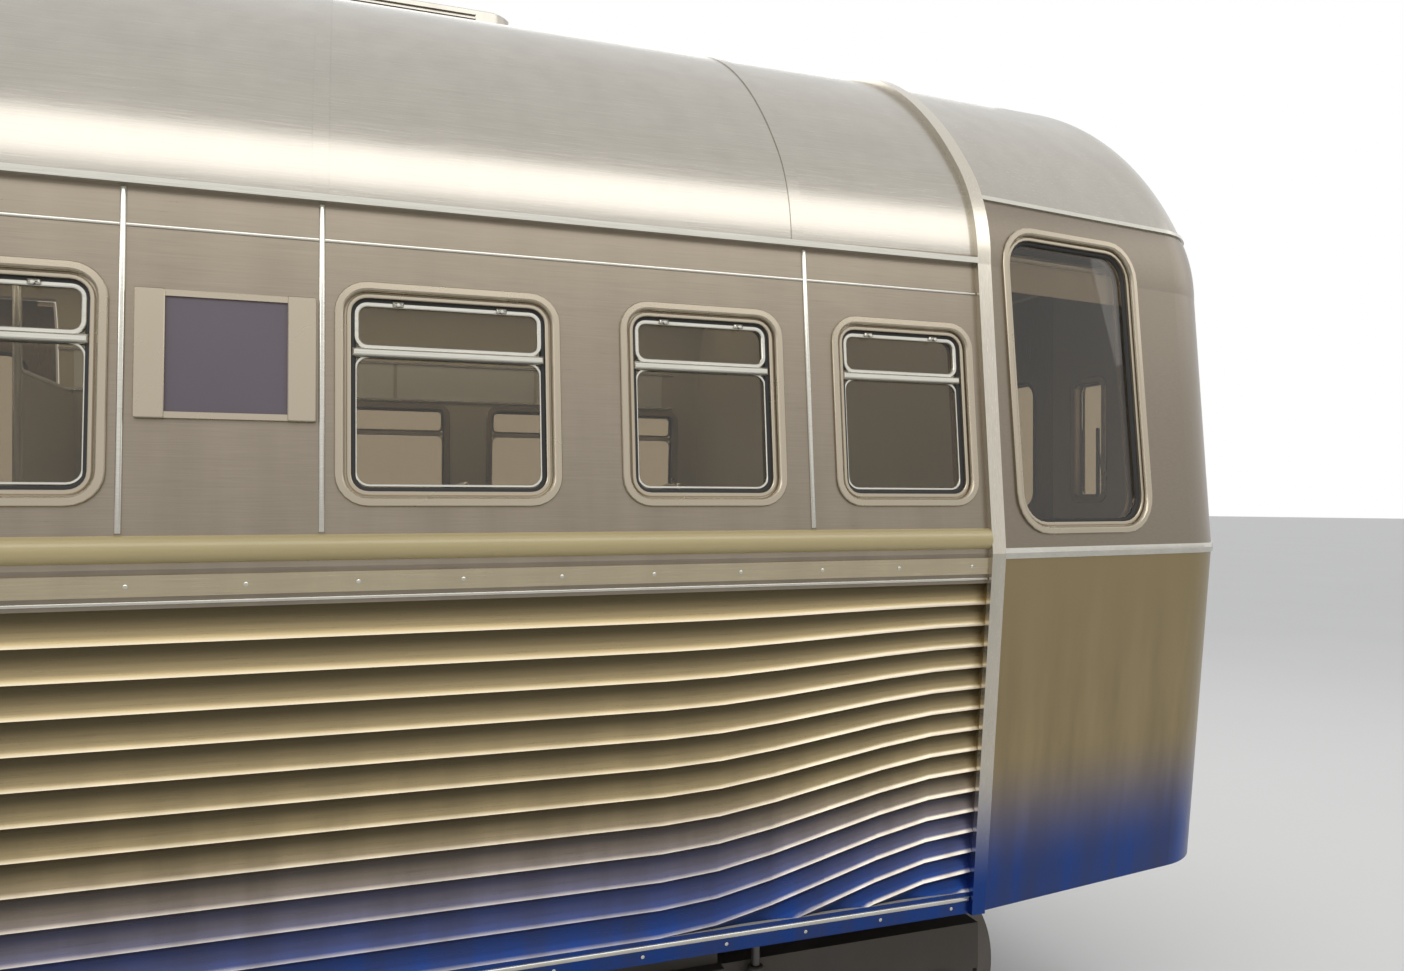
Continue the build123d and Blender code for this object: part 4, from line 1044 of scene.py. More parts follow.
class CAR_OT_windows(bpy.types.Operator):
    """Pressed window frames with their seals, sashes, transoms and catches"""

    bl_idname = "car.windows"
    bl_label = "Windows"

    def execute(self, context):
        frames, seals = bmesh.new(), bmesh.new()
        templates = {}
        rise = (TRANSOM_Z - WINDOW_MIDDLE) / math.cos(lean_at(WINDOW_HIGH))
        catch, knob = plate(*CATCH), disc(*KNOB)
        for place, width, height, corner, opening in window_rows():
            key = (round(width, 3), round(height, 3))
            if key not in templates:
                templates[key] = self.window_templates(width, height, corner, opening, rise)
            parts = templates[key]
            stamp(frames, parts["pressing"], place)
            stamp(frames, parts["inside"], place @ moved(0, 0, -WALL) @ FLIP)
            stamp(seals, parts["seal"], place)
            if not opening:
                continue
            glass = place @ moved(0, 0, GLASS_FACE)
            top = height / 2 - OPENING_INSET
            stamp(frames, parts["upper"], glass @ moved(0, (top + rise) / 2 + UPPER_LIFT, 0), 1)
            stamp(frames, parts["lower"], glass @ moved(0, (rise - top) / 2, 0), 1)
            stamp(frames, parts["bar"], glass @ moved(0, rise, BAR_FACE), 1)
            for u in (-CATCH_SPREAD * width, CATCH_SPREAD * width):
                at_top = glass @ moved(u, top - CATCH_DROP, CATCH_STAND)
                stamp(frames, catch, at_top, 1)
                stamp(frames, knob, at_top @ moved(0, -CATCH_DROP, KNOB_STAND), 1)
        pressings = finish_piece("window_pressings", frames, "carbody",
                                 "pressed trim", "bright trim")
        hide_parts("window_frames")
        finish_piece("window_seals", seals, "carbody", "rubber")
        return {"FINISHED"}

    def window_templates(self, width, height, corner, opening, rise):
        """The stamped parts of one size of window."""

        def inset_ring(inset, steps, start):
            return ring(width - 2 * inset, height - 2 * inset, corner - inset, steps, start=start)

        parts = {
            "pressing": inset_ring(0.0, PRESSING, -0.001),
            "inside": inset_ring(INNER_TRIM_INSET, INNER_TRIM, 0.0),
            "seal": inset_ring(SEAL_INSET, SEAL, GLASS_FACE),
        }
        if opening:
            clear_width, top = width - 2 * OPENING_INSET, height / 2 - OPENING_INSET
            parts["upper"] = ring(clear_width, top - rise - UPPER_GAP, UPPER_SASH_CORNER, SASH)
            parts["lower"] = ring(clear_width, top + rise - LOWER_GAP, LOWER_SASH_CORNER, THIN_SASH)
            parts["bar"] = plate(clear_width + 2 * BAR_LAP, BAR_HEIGHT, 0.0, BAR)
        return parts


# Side mouldings
UPRIGHT_XS = (0.350, 1.050, 3.845, 4.250, 5.477)
UPRIGHT_GAP = (0.004, 0.002)
JAMB_XS = (DOOR_X - DOOR_HALF_WIDTH - 0.014, DOOR_X + DOOR_HALF_WIDTH + 0.014)
JAMB_WIDTH, JAMB_CORNER, JAMB = 0.022, 0.002, ((0.0, 0.002), (0.002, 0.0015))
LOW_JAMB_LOW, LOW_JAMB_HIGH = SILL_Z + 0.012, BAND_LOW - 0.004
# Strips along each stretch. Columns: height, width
RAIN_LINE, FLUTE_LINE = (2.612, 0.008), (FLUTE_TOP + 0.013, 0.009)
SILL_LINE_Z = 0.846
LINE_GAP = 0.004
# Rows of screws along each stretch. Columns: height, how far off the wall
SCREW_LINES = ((1.827, 0.007), (0.822, 0.0))
SCREW_MARGIN = 0.060
SIGN_WIDTH, CHEEK_WIDTH, CHEEK_CORNER, CHEEK_LAP = 0.364, 0.060, 0.004, 0.002
CHEEK = ((0.0, 0.010), (0.002, 0.002))


class CAR_OT_side_mouldings(bpy.types.Operator):
    """Half-round strips, jamb strips and screws along the sides"""

    bl_idname = "car.side_mouldings"
    bl_label = "Side mouldings"

    def execute(self, context):
        settings = trim_settings()
        width = settings.moulding_width
        shape = bmesh.new()
        middle = (RAIL_TOP + EAVE_Z) / 2
        tall = slope_height(RAIL_TOP + UPRIGHT_GAP[0], EAVE_Z - UPRIGHT_GAP[1])
        upright = plate(width, tall, 0.0, HALF_ROUND)
        jamb = plate(JAMB_WIDTH, tall, JAMB_CORNER, JAMB)
        low_jamb = plate(JAMB_WIDTH, slope_height(LOW_JAMB_LOW, LOW_JAMB_HIGH), JAMB_CORNER, JAMB)
        screw = disc(*SCREW)
        for _, side in SIDES:
            for sign in (1, -1):
                for x in UPRIGHT_XS:
                    stamp(shape, upright, wall_frame(sign * x, middle, side))
                for x in JAMB_XS:
                    stamp(shape, jamb, wall_frame(sign * x, middle, side))
                    stamp(shape, low_jamb, wall_frame(sign * x, (SILL_Z + BAND_LOW) / 2, side))
            for low, high in STRETCHES:
                for z, line_width in (RAIN_LINE, (SILL_LINE_Z, width), FLUTE_LINE):
                    share = line_width / HALF_ROUND_WIDTH
                    steps = tuple((inset * share, lift * share) for inset, lift in HALF_ROUND)
                    strip = plate(high - low - LINE_GAP, line_width, 0.0, steps)
                    stamp_once(shape, strip, wall_frame((low + high) / 2, z, side))
                for x in spaced(low + SCREW_MARGIN, high - SCREW_MARGIN, settings.screw_pitch):
                    for z, stand in SCREW_LINES:
                        stamp(shape, screw, wall_frame(x, z, side, stand))
        self.sign_cheeks()
        finish_piece("side_mouldings", shape, "carbody", "bright trim")
        return {"FINISHED"}

    def sign_cheeks(self):
        """The pale plates that narrow each sign's dark panel from both sides."""
        shape = bmesh.new()
        low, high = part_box("side_signs")
        tall = slope_height(low.z, high.z) + CHEEK_LAP
        cheek = plate(CHEEK_WIDTH, tall, CHEEK_CORNER, CHEEK)
        inset = CHEEK_WIDTH / 2 - CHEEK_LAP
        for _, side in SIDES:
            for sign in (1, -1):
                for x in (high.x - SIGN_WIDTH + inset, high.x - inset):
                    place = wall_frame(sign * x, (low.z + high.z) / 2, side, CHEEK_LAP)
                    stamp(shape, cheek, place)
        finish_piece("sign_cheeks", shape, "carbody", "pressed trim")


# Passenger doors
LEAF_SEAL = ((0.0, 0.004), (0.003, 0.002), (0.009, 0.0), (0.003, -0.003), (0.004, -0.0165))
INNER_LEAF_SEAL = ((0.0, 0.003), (0.003, 0.002), (0.009, 0.0), (0.003, -0.003), (0.004, -0.0115))
# How far a seal reaches over the leaf round its window
SEAL_LAP = 0.015
KICK_LOW, KICK_HIGH, KICK_SCREW_STAND = 1.150, 1.400, 0.0025
KICK_SCREWS = tuple((u, v) for u in (-0.250, 0.0, 0.250) for v in (-0.105, 0.105))
# Plates. Columns: width, height, corner, steps
KICK = (0.540, KICK_HIGH - KICK_LOW, 0.020, THIN_PLATE)
PUSH = (0.075, 0.260, 0.012, THIN_PLATE)
RIB = (0.470, 0.010, 0.004, ((0.0, 0.002), (0.002, 0.0020)))
RIB_ZS = (1.480, 1.520, 1.560)
PUSH_INSET, PUSH_Z = 0.062, 1.720
EDGE_LOW, EDGE_DEPTH, EDGE_EASE = 1.135, 0.012, 0.002
TREAD = (1.240, 0.084, 0.006, ((0.0, 0.0014), (0.0014, 0.0010)))
TREAD_RIB = (1.200, 0.005, 0.0, ((0.0, 0.0010), (0.0006, 0.0005)))
TREAD_Y, TREAD_TOP = 1.212, 0.0024
TREAD_RIBS = (-0.030, -0.015, 0.0, 0.015, 0.030)


class CAR_OT_doors(bpy.types.Operator):
    """Seals, edge rubbers, kick plates and push plates of the passenger door leaves"""

    bl_idname = "car.doors"
    bl_label = "Passenger doors"

    def execute(self, context):
        window = (LEAF_WINDOW_WIDTH + 2 * SEAL_LAP,
                  slope_height(LEAF_WINDOW_LOW, LEAF_WINDOW_HIGH) + 2 * SEAL_LAP,
                  LEAF_WINDOW_CORNER + SEAL_LAP)
        outer_seal, inner_seal = ring(*window, LEAF_SEAL), ring(*window, INNER_LEAF_SEAL)
        kick, push, rib, screw = plate(*KICK), plate(*PUSH), plate(*RIB), disc(*SCREW)
        for side_name, side in SIDES:
            for end_name, sign in ENDS:
                for leaf_name, out in (("fore", 1), ("aft", -1)):
                    middle = sign * DOOR_X + out * LEAF_MIDDLE
                    edge_x = sign * DOOR_X + out * LEAF_FREE_EDGE
                    trim, rubber = bmesh.new(), bmesh.new()
                    window_z = (LEAF_WINDOW_LOW + LEAF_WINDOW_HIGH) / 2
                    place = wall_frame(middle, window_z, side, LEAF_FACE)
                    stamp(rubber, outer_seal, place)
                    stamp(rubber, inner_seal, place @ moved(0, 0, -LEAF_THICKNESS) @ FLIP)
                    self.edge_rubbers(rubber, edge_x, side)
                    place = wall_frame(middle, (KICK_LOW + KICK_HIGH) / 2, side, LEAF_FACE)
                    stamp(trim, kick, place)
                    for u, v in KICK_SCREWS:
                        stamp(trim, screw, place @ moved(u, v, KICK_SCREW_STAND))
                    for z in RIB_ZS:
                        stamp(trim, rib, wall_frame(middle, z, side, LEAF_FACE))
                    stamp(trim, push, wall_frame(edge_x + out * PUSH_INSET, PUSH_Z, side, LEAF_FACE))
                    node = f"door_{side_name}_{end_name}_{leaf_name}"
                    finish_piece(node + "_plates", trim, node, "pressed trim")
                    finish_piece(node + "_seals", rubber, node, "rubber")
        self.thresholds()
        return {"FINISHED"}

    def edge_rubbers(self, shape, edge_x, side):
        """The rubber noses on the inner part of a leaf's free edge, below and above the belt."""
        width = trim_settings().edge_rubber * 2
        steps = ((0.0, EDGE_DEPTH - EDGE_EASE), (EDGE_EASE, EDGE_EASE))
        for low, high in ((EDGE_LOW, BELT_Z), (BELT_Z, EAVE_Z)):
            place = wall_frame(edge_x, (low + high) / 2, side, LEAF_FACE - LEAF_THICKNESS)
            stamp_once(shape, plate(width, slope_height(low, high), 0.0, steps), place)

    def thresholds(self):
        """A ribbed tread plate on the floor inside each doorway."""
        shape = bmesh.new()
        tread, rib = plate(*TREAD), plate(*TREAD_RIB)
        for _, side in SIDES:
            for _, sign in ENDS:
                place = level_frame(sign * DOOR_X, side * TREAD_Y, FLOOR_Z)
                stamp(shape, tread, place)
                for v in TREAD_RIBS:
                    stamp(shape, rib, place @ moved(0, v, TREAD_TOP))
        finish_piece("door_thresholds", shape, "carbody", "bright trim")


# Ends of the car. Rows: bottom and top of each strip round an end, and how far it stands out
END_STRIPS = ((1.846, 1.876, 0.005), (2.906, 2.924, 0.006))
STRIP_START, STRIP_HEART = STRAIGHT_X + 0.008, STRAIGHT_X + 0.2
# Lamps. Columns: across, height, radius
LAMPS = ((0.600, 1.420, 0.095), (-0.600, 1.420, 0.095), (0.560, 2.760, 0.055), (-0.560, 2.760, 0.055))
BEZEL = ((0.0, 0.026), (0.003, 0.004), (0.008, 0.002), (0.006, -0.002), (0.004, -0.006))
BEZEL_LAP, BEZEL_STAND, BEZEL_SCREW_LAP, BEZEL_SCREW_STAND = 0.007, 0.020, 0.001, 0.050
# Rails. Columns: length, stand, radius
GRAB_RAIL, STEP_RAIL = (0.460, 0.055, 0.011), (0.300, 0.075, 0.012)
RAIL_Y, GRAB_Z, STEP_Z = 0.800, 1.560, 1.150
FOOT = (0.024, ((0.0, 0.003), (0.003, 0.002)), 16)
# The blank sign panel over the end door
SIGN_PANEL_Z = 3.085
SIGN_FRAME = (0.760, 0.170, 0.020,
              ((0.0, 0.016), (0.003, 0.003), (0.012, 0.0), (0.003, -0.003), (0.0, -0.010)))
SIGN_FACE = (0.738, 0.148, 0.012, ((0.0, 0.008), (0.0012, 0.001)))
HEADER, HEADER_Z = (0.860, 0.020, 0.003, HALF_ROUND), 2.918
END_JAMB, END_JAMB_Y, END_JAMB_Z = (0.018, 1.760, 0.003, HALF_ROUND), 0.400, 2.020
# Wipers: a hub below each window, its arm and its blade
WIPER_HUB = (0.020, ((0.0, 0.014), (0.004, 0.006)), 16)
WIPER_ARM = ((0.0, 0.0, 0.020), (0.060, 0.250, 0.024), 0.004, 8)
WIPER_BLADE = (0.012, 0.280, 0.003, ((0.0, 0.006), (0.004, 0.007)))
WIPER_SHIFT, WIPER_HUB_Z, WIPER_BLADE_Z, WIPER_STAND = 0.030, 1.955, 2.170, 0.012
END_SCREW_REACH, END_SCREW_Z = 0.900, 0.832
# End doors
END_LEAF_FACE, END_LEAF_THICKNESS = -0.008, 0.040
END_LEAF_SEAL = ((0.0, 0.004), (0.003, 0.002), (0.009, 0.0), (0.003, -0.003), (0.004, -0.0185))
END_KICK, END_KICK_Z = (0.640, 0.240, 0.020, THIN_PLATE), 1.270
END_KICK_SCREWS = tuple((u, v) for u in (-0.300, 0.300) for v in (-0.100, 0.100))
ROSE, ROSE_PLACE = (0.050, 0.150, 0.016, ((0.0, 0.003), (0.002, 0.002))), (-0.315, 1.870)
LEVER, LEVER_PLACE = (0.110, 0.040, 0.008, 0.016), (-0.270, 1.890)
KNUCKLE = ((0.0, -0.045, 0.006), (0.0, 0.045, 0.006), 0.007)
KNUCKLE_Y, KNUCKLE_ZS = 0.350, (1.300, 2.000, 2.700)


def end_leaf_frame(y, z, sign):
    """Axes on the outside of an end door."""
    return end_frame(y, z, sign, END_LEAF_FACE)


class CAR_OT_ends(bpy.types.Operator):
    """Lamp bezels, grab rails, wipers, blank sign panels and end door fittings"""

    bl_idname = "car.ends"
    bl_label = "Ends"

    def execute(self, context):
        bright, dark = bmesh.new(), bmesh.new()
        screw, foot = disc(*END_SCREW), disc(*FOOT)
        grab, step = rail(*GRAB_RAIL), rail(*STEP_RAIL)
        sign_frame, sign_face = ring(*SIGN_FRAME), plate(*SIGN_FACE)
        header, jamb = plate(*HEADER), plate(*END_JAMB)
        hub, arm, blade = disc(*WIPER_HUB), rod(*WIPER_ARM), plate(*WIPER_BLADE)
        for _, sign in ENDS:
            for y, z, radius in LAMPS:
                bezel = round_ring(radius + BEZEL_LAP, BEZEL)
                stamp_once(bright, bezel, end_frame(y, z, sign, BEZEL_STAND))
                for angle in (math.radians(45.0 + 90.0 * turn) for turn in range(4)):
                    reach = radius + BEZEL_SCREW_LAP
                    stamp(bright, screw, end_frame(y + reach * math.cos(angle),
                                                   z + reach * math.sin(angle), sign,
                                                   BEZEL_SCREW_STAND))
            for y in (-RAIL_Y, RAIL_Y):
                upright = end_frame(y, GRAB_Z, sign) @ Matrix.Rotation(math.radians(90.0), 4, "Z")
                level = end_frame(y, STEP_Z, sign)
                for bar, (length, _, _), place in ((grab, GRAB_RAIL, upright), (step, STEP_RAIL, level)):
                    stamp(bright, bar, place)
                    for u in (-length / 2, length / 2):
                        stamp(bright, foot, place @ moved(u, 0, 0))
            stamp(bright, sign_frame, end_frame(0, SIGN_PANEL_Z, sign))
            stamp(dark, sign_face, end_frame(0, SIGN_PANEL_Z, sign))
            stamp(bright, header, end_frame(0, HEADER_Z, sign))
            for y in (-END_JAMB_Y, END_JAMB_Y):
                stamp(bright, jamb, end_frame(y, END_JAMB_Z, sign))
            for y in (-END_WINDOW_Y, END_WINDOW_Y):
                place = end_frame(y - WIPER_SHIFT, WIPER_HUB_Z, sign)
                stamp(dark, hub, place)
                stamp(dark, arm, place)
                stamp(dark, blade, end_frame(y + WIPER_SHIFT, WIPER_BLADE_Z, sign, WIPER_STAND))
            for y in spaced(-END_SCREW_REACH, END_SCREW_REACH, trim_settings().screw_pitch):
                stamp(bright, screw, end_frame(y, END_SCREW_Z, sign))
        for end_name, sign in ENDS:
            for low, high, thickness in END_STRIPS:
                stamp_once(bright, surface_strip((f"end_{end_name}",), (
                    ((0.0, 0.0, low), (0.0, 0.0, -1.0)),
                    ((0.0, 0.0, high), (0.0, 0.0, 1.0)),
                    ((sign * STRIP_START, 0.0, 0.0), (-sign, 0.0, 0.0)),
                ), (sign * STRIP_HEART, 0.0, low), thickness))
        finish_piece("end_fittings", bright, "carbody", "bright trim")
        finish_piece("end_dark_fittings", dark, "carbody", "rubber")
        self.end_doors(screw)
        return {"FINISHED"}

    def end_doors(self, screw):
        """Window seal, handle, kick plate and hinges of each end door, which ride on it."""
        seal = ring(END_LEAF_WINDOW_WIDTH + 2 * SEAL_LAP, WINDOW_HIGH - WINDOW_LOW + 2 * SEAL_LAP,
                    END_WINDOW_CORNER + SEAL_LAP, END_LEAF_SEAL)
        kick, rose, lever, knuckle = plate(*END_KICK), plate(*ROSE), rail(*LEVER), rod(*KNUCKLE)
        for end_name, sign in ENDS:
            trim, rubber = bmesh.new(), bmesh.new()
            window = end_leaf_frame(0, WINDOW_MIDDLE, sign)
            stamp(rubber, seal, window)
            stamp(rubber, seal, window @ moved(0, 0, -END_LEAF_THICKNESS) @ FLIP)
            stamp(trim, kick, end_leaf_frame(0, END_KICK_Z, sign))
            for u, v in END_KICK_SCREWS:
                place = end_leaf_frame(u, END_KICK_Z + v, sign)
                stamp(trim, screw, place @ moved(0, 0, KICK_SCREW_STAND))
            stamp(trim, rose, end_leaf_frame(*ROSE_PLACE, sign))
            stamp(trim, lever, end_leaf_frame(*LEVER_PLACE, sign))
            for z in KNUCKLE_ZS:
                stamp(trim, knuckle, end_leaf_frame(KNUCKLE_Y, z, sign))
            node = f"end_door_{end_name}"
            finish_piece(node + "_plates", trim, node, "pressed trim")
            finish_piece(node + "_seals", rubber, node, "rubber")


# Roof
HOOD_TOP = 2.936
# How far the end laps lie from the ends of the straight body, and a lap's reach past a doorway
LAP_MARGIN, DOORWAY_MARGIN, LAP_LIFT, LAP_HEART_DROP = 0.61, 0.08, 0.001, 0.3
VENT_XS = (-4.400, -1.500, 1.500, 4.400)
VENT_TOP, VENT_WIDTH = 3.720, 0.660
# From inside the roof up to the flange, its bolts' ledge, and the lid
VENT_STEPS = ((0.0, 0.088), (0.003, 0.003), (0.022, 0.0), (0.0, 0.006), (0.004, 0.004),
              (0.032, 0.0), (0.009, 0.007))
VENT = (0.900, VENT_WIDTH, 0.090, VENT_STEPS, 6)
VENT_BOLT = (0.007, SCREW_HEAD, 8)
VENT_BOLT_XS, VENT_BOLT_Y, VENT_FLANGE_Z = (-0.380, -0.190, 0.0, 0.190, 0.380), 0.316, 3.703
VENT_LOUVRE = (0.640, 0.009, 0.003, ((0.0, 0.004), (0.002, 0.004)))
VENT_LOUVRE_ZS = (3.656, 3.670, 3.684)


class CAR_OT_roof(bpy.types.Operator):
    """Lapped seams across the roof, and the lids and louvres of its ventilators"""

    bl_idname = "car.roof"
    bl_label = "Roof"

    def execute(self, context):
        settings = trim_settings()
        half = settings.seam_width / 2
        laps = bmesh.new()
        for x in spaced(LAP_MARGIN - STRAIGHT_X, STRAIGHT_X - LAP_MARGIN, settings.seam_pitch):
            by_doorway = abs(abs(x) - DOOR_X) < DOOR_HALF_WIDTH + DOORWAY_MARGIN
            lowest = (HOOD_TOP if by_doorway else GUTTER_TOP) + LAP_LIFT
            stamp_once(laps, surface_strip(("roof", "side_left", "side_right"), (
                ((x - half, 0.0, 0.0), (-1.0, 0.0, 0.0)),
                ((x + half, 0.0, 0.0), (1.0, 0.0, 0.0)),
                ((0.0, 0.0, lowest), (0.0, 0.0, -1.0)),
            ), (x, 0.0, EAVE_Z - LAP_HEART_DROP), settings.lap_thickness))
        finish_piece("roof_laps", laps, "carbody", "roof sheet")
        self.vents()
        return {"FINISHED"}

    def vents(self):
        """The ventilators' hoods, with their bolts and louvres."""
        shape = bmesh.new()
        vent, louvre, bolt = plate(*VENT), plate(*VENT_LOUVRE), disc(*VENT_BOLT)
        base = VENT_TOP - sum(rise for _, rise in VENT_STEPS)
        for x in VENT_XS:
            stamp(shape, vent, level_frame(x, 0, base))
            for u in VENT_BOLT_XS:
                for v in (-VENT_BOLT_Y, VENT_BOLT_Y):
                    stamp(shape, bolt, level_frame(x + u, v, VENT_FLANGE_Z))
            for _, side in SIDES:
                for z in VENT_LOUVRE_ZS:
                    stamp(shape, louvre, side_frame(x, VENT_WIDTH / 2, z, side))
        hoods = finish_piece("roof_vent_hoods", shape, "carbody", "roof sheet")
        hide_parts("roof_vents")


# Equipment under the floor. Columns: node, side, number of covers, whether they are louvred
EQUIPMENT_COVERS = (
    ("battery_box", -1, 3, False),
    ("control_box", -1, 4, False),
    ("resistor_box", -1, 3, True),
    ("converter_box", 1, 4, True),
    ("compressor", 1, 2, False),
)
# How far the covers stay from the top, bottom and ends of their box, and from each other
COVER_LOW, COVER_HIGH, COVER_TOP, COVER_END, COVER_GAP = 0.060, 0.070, 0.880, 0.040, 0.040
COVER_CORNER = 0.050
COVER = ((0.0, 0.010), (0.003, 0.003), (0.022, 0.0), (0.004, -0.006), (0.004, 0.0))
LATCH = (0.030, 0.050, 0.006, ((0.0, 0.008), (0.004, 0.006)))
LATCH_SPREAD, LATCH_UP, LATCH_STAND, HINGE_STAND = 0.3, 0.020, 0.013, 0.004
HINGE = ((-0.035, 0.0, 0.008), (0.035, 0.0, 0.008), 0.008, 8)
BOX_BOLT = (0.009, BOLT_HEAD, 6)
BOX_BOLT_MARGIN, BOX_BOLT_PITCH, BOX_BOLT_UP = 0.060, 0.300, 0.042
SLAT_HEIGHT, SLAT_CORNER, SLAT = 0.012, 0.004, ((0.0, 0.008), (0.004, 0.008))
SLAT_MARGIN, SLAT_LOW, SLAT_HIGH, SLAT_PITCH, SLAT_STAND = 0.110, 0.085, 0.065, 0.034, 0.006
# The air tank's radius and place across the car, and its fittings
TANK_RADIUS, TANK_Y = 0.170, 0.860
DOME = (TANK_RADIUS - 0.002, ((0.012, 0.022), (0.030, 0.022), (0.050, 0.012), (0.050, 0.004)), 28)
BAND_LAP, BAND_XS, BAND_HALF = 0.006, (1.450, 1.950, 2.450, 2.900), 0.020
BAND = (TANK_RADIUS + BAND_LAP, ((0.0, 0.040), (0.006, 0.002), (0.006, -0.042)), 32)
DRAIN = ((0.0, 0.0, 0.055), (0.0, 0.0, 0.085), 0.014, 8)


class CAR_OT_underfloor(bpy.types.Operator):
    """Covers, latches, louvres and bands of the equipment under the floor"""

    bl_idname = "car.underfloor"
    bl_label = "Underfloor equipment"

    def execute(self, context):
        covers = bmesh.new()
        latch, hinge, bolt = plate(*LATCH), rod(*HINGE), disc(*BOX_BOLT)
        for node, side, count, louvred in EQUIPMENT_COVERS:
            low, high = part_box(node)
            face_y = max(abs(low.y), abs(high.y))
            inner_low, inner_high = low.z + COVER_LOW, min(high.z, COVER_TOP) - COVER_HIGH
            pitch = (high.x - low.x - 2 * COVER_END) / count
            width, height = pitch - COVER_GAP, inner_high - inner_low
            cover = plate(width, height, COVER_CORNER, COVER)
            slat = plate(width - SLAT_MARGIN, SLAT_HEIGHT, SLAT_CORNER, SLAT)
            for number in range(count):
                x = low.x + COVER_END + pitch * (number + 0.5)
                place = side_frame(x, face_y, (inner_low + inner_high) / 2, side)
                stamp(covers, cover, place)
                for u in (-LATCH_SPREAD * width, LATCH_SPREAD * width):
                    stamp(covers, latch, place @ moved(u, LATCH_UP - height / 2, LATCH_STAND))
                    stamp(covers, hinge, place @ moved(u, height / 2, HINGE_STAND))
                if louvred:
                    for v in spaced(SLAT_LOW - height / 2, height / 2 - SLAT_HIGH, SLAT_PITCH):
                        stamp(covers, slat, place @ moved(0, v, SLAT_STAND))
            for x in spaced(low.x + BOX_BOLT_MARGIN, high.x - BOX_BOLT_MARGIN, BOX_BOLT_PITCH):
                stamp(covers, bolt, side_frame(x, face_y, low.z + BOX_BOLT_UP, side))
            cover.free()
            slat.free()
        self.tank_fittings(covers, bolt)
        finish_piece("equipment_covers", covers, "carbody", "underbody paint")
        return {"FINISHED"}

    def tank_fittings(self, shape, bolt):
        """Domed ends, bands and a drain on the air tank."""
        low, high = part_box("air_tanks")
        centre_z = low.z + TANK_RADIUS
        dome, drain, band = disc(*DOME), rod(*DRAIN), round_ring(*BAND)
        for x, toward in ((low.x, -1), (high.x, 1)):
            place = face_frame((x, TANK_Y, centre_z), (0, toward, 0), (0, 0, 1))
            stamp(shape, dome, place)
            stamp(shape, drain, place)
        for x in BAND_XS:
            stamp(shape, band, face_frame((x - BAND_HALF, TANK_Y, centre_z), (0, 1, 0), (0, 0, 1)))
            stamp(shape, bolt, side_frame(x, TANK_Y + TANK_RADIUS + BAND_LAP, centre_z, 1))


# Bogies. Outside each side beam three springs stand between a shelf and a seat
SPRING_Y, SPRING_XS, SHELF_Z, SEAT_Z = 1.064, (-0.130, 0.0, 0.130), 0.500, 0.640
# Radius, radius of the wire, height, turns
SPRING = (0.040, 0.008, SEAT_Z - SHELF_Z, 5)
SHELF, SHELF_DEPTH = (0.420, 0.098, 0.012, ((0.0, 0.010), (0.002, 0.002))), 0.012
GUSSET, GUSSET_X, GUSSET_DROP = (0.016, 0.090, 0.004, ((0.0, 0.060), (0.004, 0.004))), 0.195, 0.045
AXLE_COVER = (0.095, ((0.0, 0.012), (0.004, 0.004), (0.018, 0.0), (0.010, 0.008), (0.022, 0.002)), 28)
AXLE_BOLT, AXLE_BOLTS, AXLE_BOLT_REACH, AXLE_BOLT_STAND = (0.010, BOLT_HEAD, 6), 6, 0.080, 0.016
DAMPER_X, DAMPER_Y, DAMPER_Z = 0.330, 1.050, 0.478
DAMPER = ((0.0, 0.0, 0.0), (0.0, 0.140, 0.0), 0.024, 14)
PISTON = ((0.0, 0.140, 0.0), (0.0, 0.250, 0.0), 0.013, 12)
# Brake shoes, and both ends of a shoe's hanger as seen from its axle
SHOE_Y, SHOE_OUTLINE, SHOE_STAND = 0.763, (0.076, 0.046, 0.004, 2), 0.030
SHOE_ANGLE, SHOE_STEPS = 48.0, 8
SHOE_HANGER, SHOE_HANGER_RADIUS = ((0.415, SHOE_Y, AXLE_Z), (0.430, 0.860, 0.600)), 0.016


